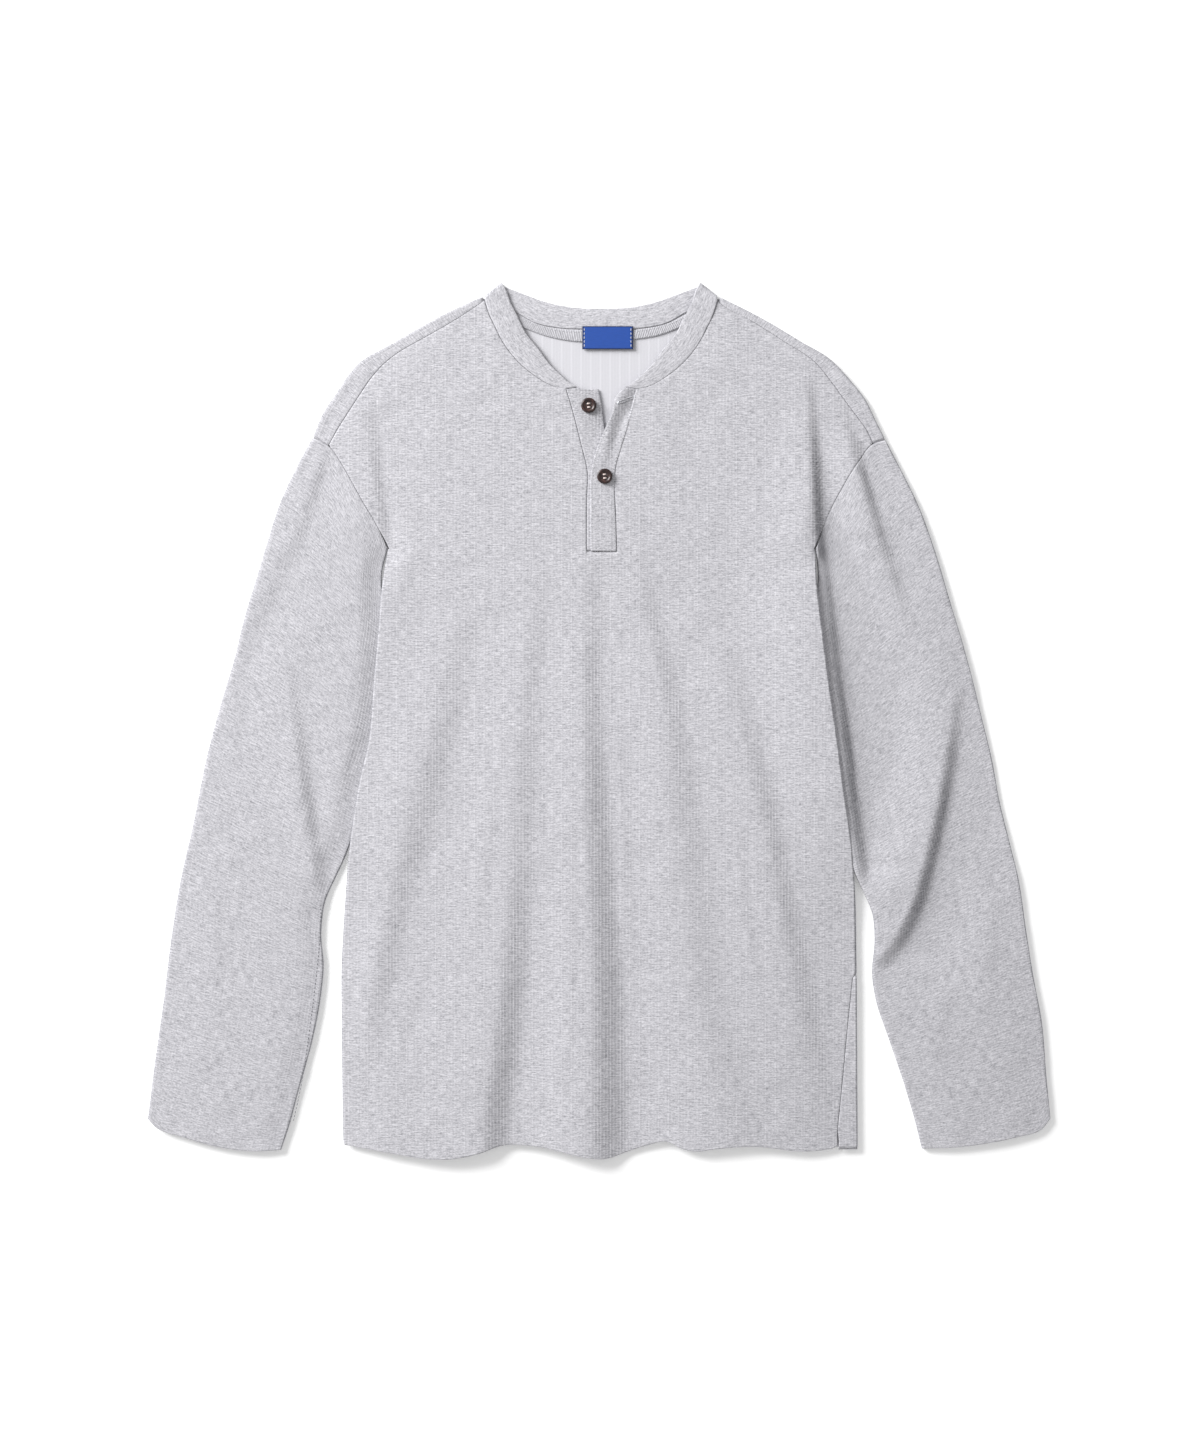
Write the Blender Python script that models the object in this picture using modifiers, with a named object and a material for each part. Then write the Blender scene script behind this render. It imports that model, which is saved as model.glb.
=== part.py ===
"""Henley shirt, laid flat: the front lies on the back, the sleeves beside the body.

The shirt rests on z = 0 with its neck towards +Y and its placket facing +Z.
Tables and sizes are millimetres; the meshes are metres. A cloth piece is an open
mid-surface with a Solidify wall. Its plan is a Coons patch between its cut edges,
and its height comes from one field of layers, rolled edges and folds.
"""
import math

import bmesh
import bpy
import numpy as np

MM = 0.001

# Driving sizes ---------------------------------------------------------------
WALL = 1.2              # knit of the body and the sleeves
BAND_WALL = 2.0         # doubled rib of the neckband
PLACKET_WALL = 1.4
TAPE_WALL = 1.0
LABEL_WALL = 1.0
SEAM_GAP = 0.3          # clear space between two pieces
BUTTON_DIAMETER = 12.7
BUTTON_THICKNESS = 2.6
BUTTON_HOLE = 2.0
BUTTON_HOLE_SPACING = 3.0
BUTTON_TURN = 50.0      # degrees from +X to the first hole

HALF = WALL / 2
LEVEL = 5.4             # mid-surface of the upper layer, away from edges and folds
SWELL = 2.6             # how much higher the folded skirt of the front stands
SWELL_START = 110.0     # along Y
SWELL_RUN = 150.0
EDGE_TOP = 5.0          # upper layer where it rolls over at a fold edge
PIT_TOP = 3.6           # sleeve where the body's side lies on it
LIFTED_TOP = 9.8        # body's side where it lies on the sleeve
LIFTED_BOTTOM = 5.2     # underside of that roll
LOWEST_TOP = 2.4        # an upper layer never sinks below this
ROLL = 2.6              # how far an edge roll reaches inwards
SLEEVE_ROLL = 1.6
EDGE_BLEND = 40.0       # distance over which an edge height fades into LEVEL
PIT_BLEND = 26.0
CHEST = 142.0           # height of the underarm line along Y
CHEST_BLEND = 30.0      # below it the armpit's crease has left the body
SIDE_CALM = 0.7         # share of a fold that is gone at the body's side edge
CORNER = 9.0            # rounding of the hem corners
ARMHOLE_NORMAL = (0.82, 0.57)   # across the armhole seam, towards the neck's side
CAP_FADE = 0.2          # share of a sleeve's length over which its cap straightens
CUFF_SHARPNESS = 12     # power that keeps the cuff's curve near the cuff
BAND_RISE = 0.4         # neckband above the front
BAND_SEAM_STEP = (0.35, 0.3)    # from the neck seam to the band's near edge
BAND_TIP_STEP = (0.49, -0.87)   # band's fold moved in from its outline

# Mesh density ----------------------------------------------------------------
SIDE_COLUMNS = 14
SLIT_COLUMNS = 3
STRIP_ROWS = 6          # from the hem up to where the right seam turns under
FRONT_ROWS = 14         # from there to the underarm
BACK_ROWS = 7
ARMHOLE_ROWS = 5
SHOULDER_ROWS = 8
UPPER_ROWS = ARMHOLE_ROWS + SHOULDER_ROWS
ROW_CROWDING = 1.3      # rows and rings crowd towards the underarm
ROLL_STEPS = 4
SLEEVE_RINGS = 18
SLEEVE_TOP_STEPS = 10
SLEEVE_BOTTOM_STEPS = 3

# Cut and fold edges of each side: x, y ---------------------------------------
LEFT = {
    "sign": -1,
    "shoulder_fold": ((-97.8, 350.6), (-112, 344), (-135, 333), (-158, 320), (-179, 308),
                      (-198, 297), (-209, 285), (-219, 270), (-229, 255), (-238, 234)),
    "shoulder_seam": ((-97, 346.6), (-108, 339), (-134, 323), (-150, 314), (-166, 305),
                      (-179, 295), (-189, 284), (-198, 271), (-209, 254), (-219, 238), (-225, 227)),
    "armhole": ((-238, 234), (-225, 227), (-214, 212), (-206, 198), (-196, 180),
                (-187, 165), (-181, 153), (-176.4, 142)),
    "sleeve_outer": ((-238, 234), (-250, 212), (-265, 180), (-275, 149), (-285, 116), (-295, 83),
                     (-303, 50), (-313, 17), (-326, -32), (-336, -82), (-347, -131), (-355, -181),
                     (-361, -230), (-368, -280), (-374, -328)),
    "sleeve_inner": ((-176.6, 142), (-181.5, 120), (-180, 100), (-174, 72), (-175, 26), (-180, -12),
                     (-194, -54), (-207, -101), (-212, -114), (-219, -129), (-227, -147),
                     (-231, -177), (-229, -202), (-231, -225), (-239, -266), (-250, -304),
                     (-257, -328), (-264, -346)),
    "cuff": ((-374, -328), (-369, -334), (-343, -344), (-318, -351), (-288, -355), (-264, -354)),
    "pit_crease": ((-188, 262), (-185, 215), (-181, 165), (-176.4, 142)),
    "crease_depth": 0.7,
}
RIGHT = {
    "sign": 1,
    "shoulder_fold": ((98, 350.2), (119, 340), (141, 328), (164, 314), (189, 299),
                      (207, 280), (218, 266), (227, 248), (235, 232)),
    "shoulder_seam": ((97.4, 346), (102, 342), (121, 332), (150, 314), (178, 295),
                      (191, 279), (202, 264), (211, 252), (219, 241), (225, 229)),
    "armhole": ((235, 232), (225, 229), (214, 216), (206, 204), (198, 190),
                (190, 175), (182, 156), (177.4, 142)),
    "sleeve_outer": ((235, 232), (248, 207), (263, 176), (277, 137), (288, 100), (298, 67),
                     (307, 34), (315, 1), (323, -32), (329, -65), (337, -98), (345, -131),
                     (351, -172), (357, -210), (364, -248), (368, -296), (371, -328)),
    "sleeve_inner": ((177.7, 142), (179.6, 120), (178, 100), (173, 72), (176, 26), (184, -12),
                     (197, -68), (209, -125), (217, -142), (224, -159), (226, -180),
                     (224, -210), (227, -230), (238, -263), (250, -298), (260, -331), (265, -350)),
    "cuff": ((371, -328), (365, -336), (341, -344), (316, -349), (290, -352), (265, -353)),
    "pit_crease": ((175, 272), (175, 200), (174, 165), (177.4, 142)),
    "crease_depth": 1.0,
}

# Body's side edges from the underarm to the hem: y, left x, right x
BODY_EDGE = ((-345, -213, 212), (-263, -214, 211.5), (-197, -214, 211), (-148, -211, 210),
             (-100, -207, 206.5), (-54, -200, 200), (-12, -191, 194.5), (26, -188, 189),
             (72, -184, 183), (117, -180, 178), (142, -176, 177))
# The body's side roll: y, top, underside, reach
SIDE_ROLL = ((-345, EDGE_TOP, HALF, ROLL), (-172, EDGE_TOP, HALF, ROLL),
             (-112, LIFTED_TOP - 2.0, LIFTED_BOTTOM, ROLL), (-60, LIFTED_TOP, LIFTED_BOTTOM, ROLL),
             (112, LIFTED_TOP, LIFTED_BOTTOM, ROLL), (142, LEVEL, 2.2, 1.0))
# How far the sleeve lies under the body's side: y, overlap; the back ends beyond it
BACK_INSET = ((-345, 4.4), (-118, 4.4), (-101, 5.0), (-54, 8.5), (-12, 13.0), (26, 15.0),
              (72, 13.0), (98, 5.5), (118, 2.8), (142, 2.0))
# Right side seam where the back's edge wraps forwards: y, x
WRAPPED_SEAM = ((-345, 195), (-334, 195.5), (-310, 198), (-290, 200), (-252, 203.5), (-210, 207.9))
WRAP_START = -210.0

FRONT_HEM = ((-209.4, -350), (-164, -358), (-144, -361), (-122, -361), (-102, -357), (-80, -350),
             (-64, -350), (-46, -352), (-30, -356), (-12, -360), (4, -361), (23, -355), (39, -350),
             (54, -347), (67, -353), (80, -355), (94, -353), (125, -351), (172, -355),
             (187, -353), (195, -345))
BACK_HEM_RISE = 2.0     # the back's hem hides behind the front's

# Neck ------------------------------------------------------------------------
NECK_SEAM = ((-96, 347), (-93, 337), (-87, 324), (-82, 314), (-71, 299), (-55, 285),
             (-40, 276.5), (-29, 274))
BAND_FREE_EDGE = ((-77.5, 354), (-75, 346), (-70, 336), (-62, 320), (-50, 305), (-43, 295),
                  (-35, 287), (-26, 279), (-20, 275.5))
BAND_TIP = ((-96, 351), (-80.5, 360.5))       # fold over the shoulder: seam side, free side
BACK_NECK_SEAM = ((-95, 348), (-82, 344), (-69, 337), (-54, 329), (-35, 325), (-16, 324), (0, 324))
BACK_BAND_FREE = ((-80, 357), (-68, 353), (-46, 345), (-20, 340), (0, 339.5))
TAPE_LOWER = ((-63, 324), (-45, 318), (-25, 314), (0, 313.5), (29, 315.5), (47, 318.5), (63, 324))
TAPE_UPPER = ((-67, 333), (-54, 327.6), (-35, 323.6), (0, 322.6), (35, 323.6), (54, 327.6), (67, 333))
LABEL_CENTRE = (5.5, 316.5)
LABEL_SIZE = (42.0, 19.0)

# Placket: slit edges of the front, then the two pieces: x, y -------------------
SLIT_LEFT = ((-12, 140), (-12, 158), (-11, 187), (-10, 205), (-12.5, 216), (-20, 234),
             (-25, 257), (-29, 274))
SLIT_RIGHT = ((13, 140), (12, 172), (11, 195), (12, 208), (16, 223), (22, 242), (26, 255), (31, 273))
UNDER_RIGHT = ((11, 142), (10, 172), (9.3, 195), (9, 208), (6, 224), (3, 240), (1, 257), (-2, 274))
FLY_LEFT = ((-12.6, 141), (-12.6, 158), (-11.6, 187), (-9.5, 202), (-7, 214), (-1, 231), (3, 240),
            (9, 253), (11.5, 266))
FLY_TOP = ((11.5, 266), (14.5, 269.5), (22, 273.5), (30.2, 272.4))
UNDER_DROP = (0.7, 1.4)     # under piece below the front: at its left edge, at its right edge
FLY_RISE = (1.8, 0.4)       # fly above the front: at its left edge, at its right edge
BUTTONS = {"button_upper": (-10.1, 260.4), "button_lower": (3.1, 201.8)}

# Folds: layer, reach, then the path with its depth (valley positive): x, y, depth
FOLDS = (
    ("both", 18, ((166, 262, 0), (163, 205, -1.4), (162, 165, -2.2), (164, 124, 0))),
    ("both", 15, ((-172, 262, 0), (-168, 205, -1.0), (-166, 165, -2.0), (-169, 124, 0))),
    ("body", 12, ((-7, 125, 0), (-5, 50, 2.4), (-1, -59, 3.8), (5, -115, 4.8), (7, -224, 5.4),
                  (7, -366, 5.4))),
    ("body", 10, ((-48, 120, 0), (-56, 50, 1.4), (-60, -87, 2.6), (-69, -197, 3.6), (-78, -280, 4.6),
                  (-87, -366, 5.2))),
    ("body", 19, ((-97, 130, 0), (-112, 60, 1.6), (-128, -10, 3.0), (-155, -100, 3.4),
                  (-172, -155, 3.2), (-194, -250, 1.6), (-204, -320, 0))),
    ("body", 13, ((-145, 130, 0), (-156, 80, 1.6), (-170, 10, 0))),
    ("body", 15, ((31, 135, 0), (43, 83, 2.4), (57, 23, 2.8), (71, -87, 3.0), (82, -170, 3.2),
                  (96, -252, 3.0), (124, -366, 2.4))),
    ("body", 10, ((88, 95, 0), (101, 61, 1.2), (123, 1, 2.2), (142, -87, 3.0), (153, -142, 3.4),
                  (167, -203, 3.8), (183, -275, 3.6), (190, -350, 1.8))),
    ("body", 14, ((-30, 70, 0), (-34, -60, -0.8), (-36, -200, -1.8), (-40, -366, -2.4))),
    ("body", 16, ((36, 20, 0), (46, -120, -1.0), (52, -260, -1.8), (62, -366, -1.6))),
    ("body", 16, ((-85, 60, 0), (-96, -80, -1.2), (-112, -240, -1.4), (-122, -366, -0.8))),
    ("body", 15, ((80, 90, 0), (104, -60, -1.2), (122, -200, -1.4), (140, -330, -0.8))),
    ("both", 11, ((206, 240, 0), (211, 222, 0.7), (218, 200, 1.9), (238, 144, 2.4), (247, 111, 1.4),
                  (254, 75, 0))),
    ("sleeves", 12, ((232, 196, 0), (250, 150, -1.8), (262, 105, -1.4), (270, 60, 0))),
    ("sleeves", 11, ((300, 44, 0), (296, 12, 2.0), (288, -49, 2.8), (274, -115, 2.8), (261, -164, 2.8),
                     (244, -191, 2.6), (229, -202, 1.6))),
    ("sleeves", 13, ((317, -20, 0), (309, -80, -2.6), (294, -140, -4.0), (276, -186, -3.8),
                     (248, -218, -1.8))),
    ("sleeves", 12, ((280, 30, 0), (268, -45, -2.6), (252, -112, -2.8), (238, -158, -1.0))),
    ("sleeves", 10, ((-262, 80, 0), (-254, 45, 1.4), (-244, -16, 2.4), (-238, -76, 2.6),
                     (-232, -125, 2.6), (-229, -155, 1.2))),
    ("sleeves", 14, ((-276, 60, 0), (-266, -16, -1.6), (-260, -80, -2.2), (-250, -140, -1.6),
                     (-246, -175, 0))),
    ("sleeves", 13, ((-228, 212, 0), (-238, 177, 1.2), (-259, 122, 0))),
    ("sleeves", 7, ((-282, -134, 0), (-262, -156, 1.2), (-240, -174, 1.4))),
)

# Depth of the dip beside the body, along Y: y, share of full dip, flat reach
PIT_STRENGTH = ((-345, 0.45, 0.0), (-130, 0.5, 0.0), (-100, 1.0, 3.0), (-54, 1.0, 9.0), (-12, 1.0, 13.5),
                (72, 1.0, 13.5), (118, 1.0, 3.0), (142, 1.0, 0.0), (165, 0.9, 0.0), (200, 0.5, 0.0),
                (235, 0.2, 0.0), (262, 0.0, 0.0))

COLLECTION = "henley_shirt"
CENTRING = (1.5, 0.45, 0.0)     # moves the tables' origin under the middle of the shirt


# Curves and patches ----------------------------------------------------------
def hermite(where, knots, values):
    """Cubic Hermite curve through values at knots, with central-difference slopes."""
    knots = np.asarray(knots, float)
    values = np.asarray(values, float)
    where = np.clip(np.asarray(where, float), knots[0], knots[-1])
    slopes = np.gradient(values, knots, axis=0)
    k = np.clip(np.searchsorted(knots, where, side="right") - 1, 0, len(knots) - 2)
    span = knots[k + 1] - knots[k]
    s = (where - knots[k]) / span
    shape = s.shape + (1,) * (values.ndim - 1)
    s = s.reshape(shape)
    span = span.reshape(shape)
    return ((2 * s ** 3 - 3 * s ** 2 + 1) * values[k] + (s ** 3 - 2 * s ** 2 + s) * span * slopes[k]
            + (3 * s ** 2 - 2 * s ** 3) * values[k + 1] + (s ** 3 - s ** 2) * span * slopes[k + 1])


def trace(points, where):
    """Points of the smooth curve through a table, at fractions of its length."""
    points = np.asarray(points, float)
    run = np.concatenate(([0.0], np.cumsum(np.linalg.norm(np.diff(points, axis=0), axis=1))))
    return hermite(where, run / run[-1], points)


def stations(count):
    """Evenly spaced fractions from 0 to 1."""
    return np.linspace(0.0, 1.0, count + 1)


def coons(bottom, top, left, right):
    """Bilinearly blended patch: ruled both ways less the corners' bilinear surface."""
    u = stations(len(bottom) - 1)[None, :, None]
    v = stations(len(left) - 1)[:, None, None]
    ruled_up = (1 - v) * bottom[None] + v * top[None]
    ruled_across = (1 - u) * left[:, None] + u * right[:, None]
    corners = ((1 - u) * (1 - v) * bottom[0] + u * (1 - v) * bottom[-1]
               + (1 - u) * v * top[0] + u * v * top[-1])
    return ruled_up + ruled_across - corners


def smoothstep(value):
    """0 below 0, 1 above 1, and a soft S between."""
    t = np.clip(value, 0.0, 1.0)
    return t * t * (3 - 2 * t)


def by_height(y, table, column):
    """A column of a table whose first column is y, eased between its rows."""
    rows = np.asarray(table, float)
    return np.interp(y, rows[:, 0], rows[:, column])


def nearest(xy, path):
    """Distance to a polyline, with the segment and the fraction along it."""
    start = np.asarray(path, float)[:-1, :2]
    step = np.asarray(path, float)[1:, :2] - start
    away = xy[..., None, :] - start
    s = np.clip((away * step).sum(-1) / (step * step).sum(-1), 0.0, 1.0)
    gap = np.linalg.norm(away - s[..., None] * step, axis=-1)
    k = gap.argmin(-1)
    pick = k[..., None]
    return np.take_along_axis(gap, pick, -1)[..., 0], k, np.take_along_axis(s, pick, -1)[..., 0]


# Heights ---------------------------------------------------------------------
def body_edge(y, sign):
    """X of the body's side edge."""
    rows = np.asarray(BODY_EDGE, float)
    return hermite(y, rows[:, 0], rows[:, 1 if sign < 0 else 2])


def outer_distance(xy):
    """Distance to the shirt's outer fold: both shoulders and both sleeves' outer edges."""
    lines = [np.concatenate((side["shoulder_fold"], side["sleeve_outer"][1:])) for side in (LEFT, RIGHT)]
    return np.minimum(nearest(xy, lines[0])[0], nearest(xy, lines[1])[0])


def pit_dip(xy):
    """Drop of the upper layer along the crease into the armpit and beside the body."""
    drop = 0.0
    for side in (LEFT, RIGHT):
        line = np.concatenate((side["pit_crease"], trace(side["sleeve_inner"], stations(40))[1:]))
        gap = nearest(xy, line)[0]
        share = by_height(xy[..., 1], PIT_STRENGTH, 1)
        share = np.where(xy[..., 1] > CHEST, share * side["crease_depth"]
                         + share ** 6 * (1 - side["crease_depth"]), share)
        reach = by_height(xy[..., 1], PIT_STRENGTH, 2)
        drop = drop + (LEVEL - PIT_TOP) * share * (1 - smoothstep((gap - reach) / PIT_BLEND))
    return drop


def fold_relief(xy, layer):
    """Sum of the folds on a layer: a Gaussian across each path, its depth eased along it."""
    relief = 0.0
    for on, reach, path in FOLDS:
        if on not in (layer, "both"):
            continue
        depth = np.asarray(path, float)[:, 2]
        gap, k, s = nearest(xy, path)
        s = s * s * (3 - 2 * s)
        relief = relief - (depth[k] + (depth[k + 1] - depth[k]) * s) * np.exp(-(gap / reach) ** 2)
    return relief


def body_level(y):
    """Height of the front away from edges and folds: low at the chest, higher in the skirt."""
    return LEVEL + SWELL * smoothstep((SWELL_START - y) / SWELL_RUN)


def body_height(xy):
    """Mid-surface height of the front, and of the back where it comes forwards."""
    x, y = xy[..., 0], xy[..., 1]
    rim = 1 - smoothstep(outer_distance(xy) / EDGE_BLEND)
    gap = np.minimum(x - body_edge(y, -1), body_edge(y, 1) - x)
    side = (1 - smoothstep(gap / EDGE_BLEND)) * (y < CHEST)
    level = body_level(y)
    z = level - (level - EDGE_TOP) * rim + (by_height(y, SIDE_ROLL, 1) - level) * side
    z = z - pit_dip(xy) * smoothstep((y - CHEST + CHEST_BLEND) / CHEST_BLEND)
    return np.maximum(z + fold_relief(xy, "body") * (1 - SIDE_CALM * side), LOWEST_TOP)


def sleeve_height(xy):
    """Mid-surface height of a sleeve's upper layer."""
    rim = 1 - smoothstep(outer_distance(xy) / EDGE_BLEND)
    z = LEVEL - (LEVEL - EDGE_TOP) * rim - pit_dip(xy)
    return np.maximum(z + fold_relief(xy, "sleeves"), LOWEST_TOP)


def lift(plan, height):
    """Plan points with their heights, as one array of x, y, z."""
    return np.concatenate((plan, np.broadcast_to(height, plan.shape[:-1])[..., None]), axis=-1)


def roll(edge, inward, reach, top, bottom, angles):
    """Half ellipse round a fold edge: out from the top, round and back underneath."""
    angles = np.asarray(angles)
    away = reach[:, None] * (1 - np.cos(angles))
    plan = edge[:, None] + inward[:, None] * away[..., None]
    height = (top + bottom)[:, None] / 2 + (top - bottom)[:, None] / 2 * np.sin(angles)
    return lift(plan, height)


ROLL_ANGLES = np.linspace(math.pi / 2, -math.pi / 2, ROLL_STEPS + 1)


# Mesh helpers ----------------------------------------------------------------
def material(name, colour, roughness):
    """Principled material of one colour."""
    shader = bpy.data.materials.new(name)
    shader.use_nodes = True
    bsdf = shader.node_tree.nodes["Principled BSDF"]
    bsdf.inputs["Base Color"].default_value = (*colour, 1.0)
    bsdf.inputs["Roughness"].default_value = roughness
    bsdf.inputs["Metallic"].default_value = 0.0
    return shader


def add_object(name, mesh, shader, collection):
    """Object with one material in the shirt's collection, shaded smooth."""
    mesh.materials.append(shader)
    mesh.shade_smooth()
    mesh.set_sharp_from_angle(angle=math.radians(50))
    obj = bpy.data.objects.new(name, mesh)
    collection.objects.link(obj)
    return obj


def cloth(name, patches, wall, shader, collection, ring=False):
    """Join patches of points into one open sheet and give it a wall with Solidify."""
    bm = bmesh.new()
    for patch in patches:
        rows, columns = patch.shape[:2]
        verts = [bm.verts.new(point) for point in ((patch + CENTRING) * MM).reshape(-1, 3)]
        last = columns if ring else columns - 1
        for i in range(rows - 1):
            for j in range(last):
                k = (j + 1) % columns
                bm.faces.new((verts[i * columns + j], verts[i * columns + k],
                              verts[(i + 1) * columns + k], verts[(i + 1) * columns + j]))
    bmesh.ops.remove_doubles(bm, verts=bm.verts, dist=0.00001)
    bmesh.ops.recalc_face_normals(bm, faces=bm.faces)
    mesh = bpy.data.meshes.new(name)
    bm.to_mesh(mesh)
    bm.free()
    obj = add_object(name, mesh, shader, collection)
    solid = obj.modifiers.new("wall", "SOLIDIFY")
    solid.thickness = wall * MM
    solid.offset = 0.0
    return obj


# Plans -----------------------------------------------------------------------
def armhole_shift(side):
    """Half the seam gap, from the armhole seam towards the body."""
    across, up = ARMHOLE_NORMAL
    return np.array((-side["sign"] * across, up)) * SEAM_GAP / 2


def armhole_nodes(side):
    """Fractions of the armhole curve that all pieces meeting there share, corner first."""
    points = np.asarray(side["armhole"], float)
    steps = np.linalg.norm(np.diff(points, axis=0), axis=1)
    corner = steps[0] / steps.sum()
    return np.concatenate(([0.0], corner + (1 - corner) * stations(ARMHOLE_ROWS)))


def armhole_line(side, where):
    """Armhole seam as straight chords between its shared nodes."""
    nodes = armhole_nodes(side)
    points = trace(side["armhole"], nodes)
    return np.stack([np.interp(where, nodes, points[:, axis]) for axis in (0, 1)], axis=-1)


def body_rows(rows, hem):
    """Y of the body's rows from the hem to the underarm, crowding towards the underarm."""
    upper = CHEST - (CHEST - WRAP_START) * (1 - stations(rows)) ** ROW_CROWDING
    return np.concatenate((np.linspace(hem, WRAP_START, STRIP_ROWS + 1)[:-1], upper))


def front_side_line(side):
    """Where the front's flat part ends: the start of its roll, or the wrapped seam."""
    sign = side["sign"]
    y = body_rows(FRONT_ROWS, FRONT_HEM[0][1])
    x = body_edge(y, sign) - sign * (HALF + by_height(y, SIDE_ROLL, 3))
    if sign > 0:
        x[:STRIP_ROWS] = by_height(y[:STRIP_ROWS], WRAPPED_SEAM, 1) - SEAM_GAP / 2
    return np.stack((x, y), axis=-1)


def upper_side_line(side):
    """Front's upper side: up the armhole, then along the shoulder seam to the neck."""
    arm = armhole_line(side, armhole_nodes(side)[:0:-1]) + armhole_shift(side)
    arm[0, 0] = body_edge(CHEST, side["sign"]) - side["sign"] * (HALF + SIDE_ROLL[-1][3])
    seam = trace(side["shoulder_seam"], 1 - stations(SHOULDER_ROWS))
    fold = trace(side["shoulder_fold"], 1 - stations(SHOULDER_ROWS))
    inward = (seam - fold) / np.linalg.norm(seam - fold, axis=1)[:, None]
    seam = seam + inward * SEAM_GAP / 2
    seam[0] = arm[-1]
    return np.concatenate((arm, seam[1:]))


def mirrored(points):
    """The same curve on the other side of the neck."""
    return np.asarray(points, float) * (-1, 1)


def front_patches():
    """Lower body, the two upper halves beside the slit, and the rolled sides."""
    left_line = front_side_line(LEFT)
    right_line = front_side_line(RIGHT)
    arm_left = upper_side_line(LEFT)
    arm_right = upper_side_line(RIGHT)
    left_line[-1] = arm_left[0]
    right_line[-1] = arm_right[0]
    slit_left = np.array(SLIT_LEFT[0], float)
    slit_right = np.array(SLIT_RIGHT[0], float)
    chest_left = trace((arm_left[0], slit_left), stations(SIDE_COLUMNS))
    chest_slit = trace((slit_left, slit_right), stations(SLIT_COLUMNS))
    chest_right = trace((slit_right, arm_right[0]), stations(SIDE_COLUMNS))
    chest = np.concatenate((chest_left, chest_slit[1:], chest_right[1:]))
    hem_run = np.linalg.norm(np.diff(chest, axis=0), axis=1)
    hem_run = np.concatenate(([0.0], np.cumsum(hem_run))) / hem_run.sum()
    hem = trace(FRONT_HEM, hem_run)
    left_line[0] = hem[0]
    right_line[0] = hem[-1]
    lower = coons(hem, chest, left_line, right_line)

    slit = trace(SLIT_LEFT, stations(UPPER_ROWS))
    neck = trace(np.asarray(NECK_SEAM, float), stations(SIDE_COLUMNS))
    neck[0] = arm_left[-1]
    neck[-1] = slit[-1]
    upper_left = coons(chest_left, neck, arm_left, slit)
    slit = trace(SLIT_RIGHT, stations(UPPER_ROWS))
    neck = trace(mirrored(NECK_SEAM)[::-1], stations(SIDE_COLUMNS))
    neck[-1] = arm_right[-1]
    neck[0] = slit[-1]
    upper_right = coons(chest_right, neck, slit, arm_right)

    patches = [lift(plan, body_height(plan)) for plan in (lower, upper_left, upper_right)]
    patches.append(side_roll(LEFT, patches[0][:, 0]))
    patches.append(side_roll(RIGHT, patches[0][STRIP_ROWS:, -1]))
    return patches


def side_roll(side, line):
    """Roll of the front's side edge, from its flat part round and underneath."""
    y = line[:, 1]
    sign = side["sign"]
    top = line[:, 2]
    reach = np.abs(body_edge(y, sign) - sign * HALF - line[:, 0])
    bottom = by_height(y, SIDE_ROLL, 2)
    edge = line[:, :2] + np.stack((sign * reach, 0 * y), axis=-1)
    inward = np.tile((-sign, 0.0), (len(y), 1))
    patch = roll(edge, inward, reach, top, bottom, ROLL_ANGLES)
    patch[:, 0] = line
    rise = CORNER * np.exp(-(y - FRONT_HEM[0][1]) / (CORNER / 2))
    patch[..., 1] += rise[:, None] * (1 - np.abs(np.sin(ROLL_ANGLES)))
    return patch


def back_side_line(side):
    """Back's side edge on the floor, from hem to underarm."""
    y = body_rows(BACK_ROWS, FRONT_HEM[0][1] + BACK_HEM_RISE)
    x = body_edge(y, side["sign"]) - side["sign"] * by_height(y, BACK_INSET, 1)
    return np.stack((x, y), axis=-1)


def shoulder_wrap(side):
    """Back's strip over the shoulder: fold point, inward direction, reach, seam distance."""
    share = 1 - stations(SHOULDER_ROWS)
    fold = trace(side["shoulder_fold"], share)
    seam = trace(side["shoulder_seam"], share)
    width = np.linalg.norm(seam - fold, axis=1)
    inward = (seam - fold) / width[:, None]
    reach = np.minimum(ROLL, width * 0.5)
    fold[0] += armhole_shift(side) * 2
    return fold + inward * HALF, inward, reach, width - HALF - SEAM_GAP / 2


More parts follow.
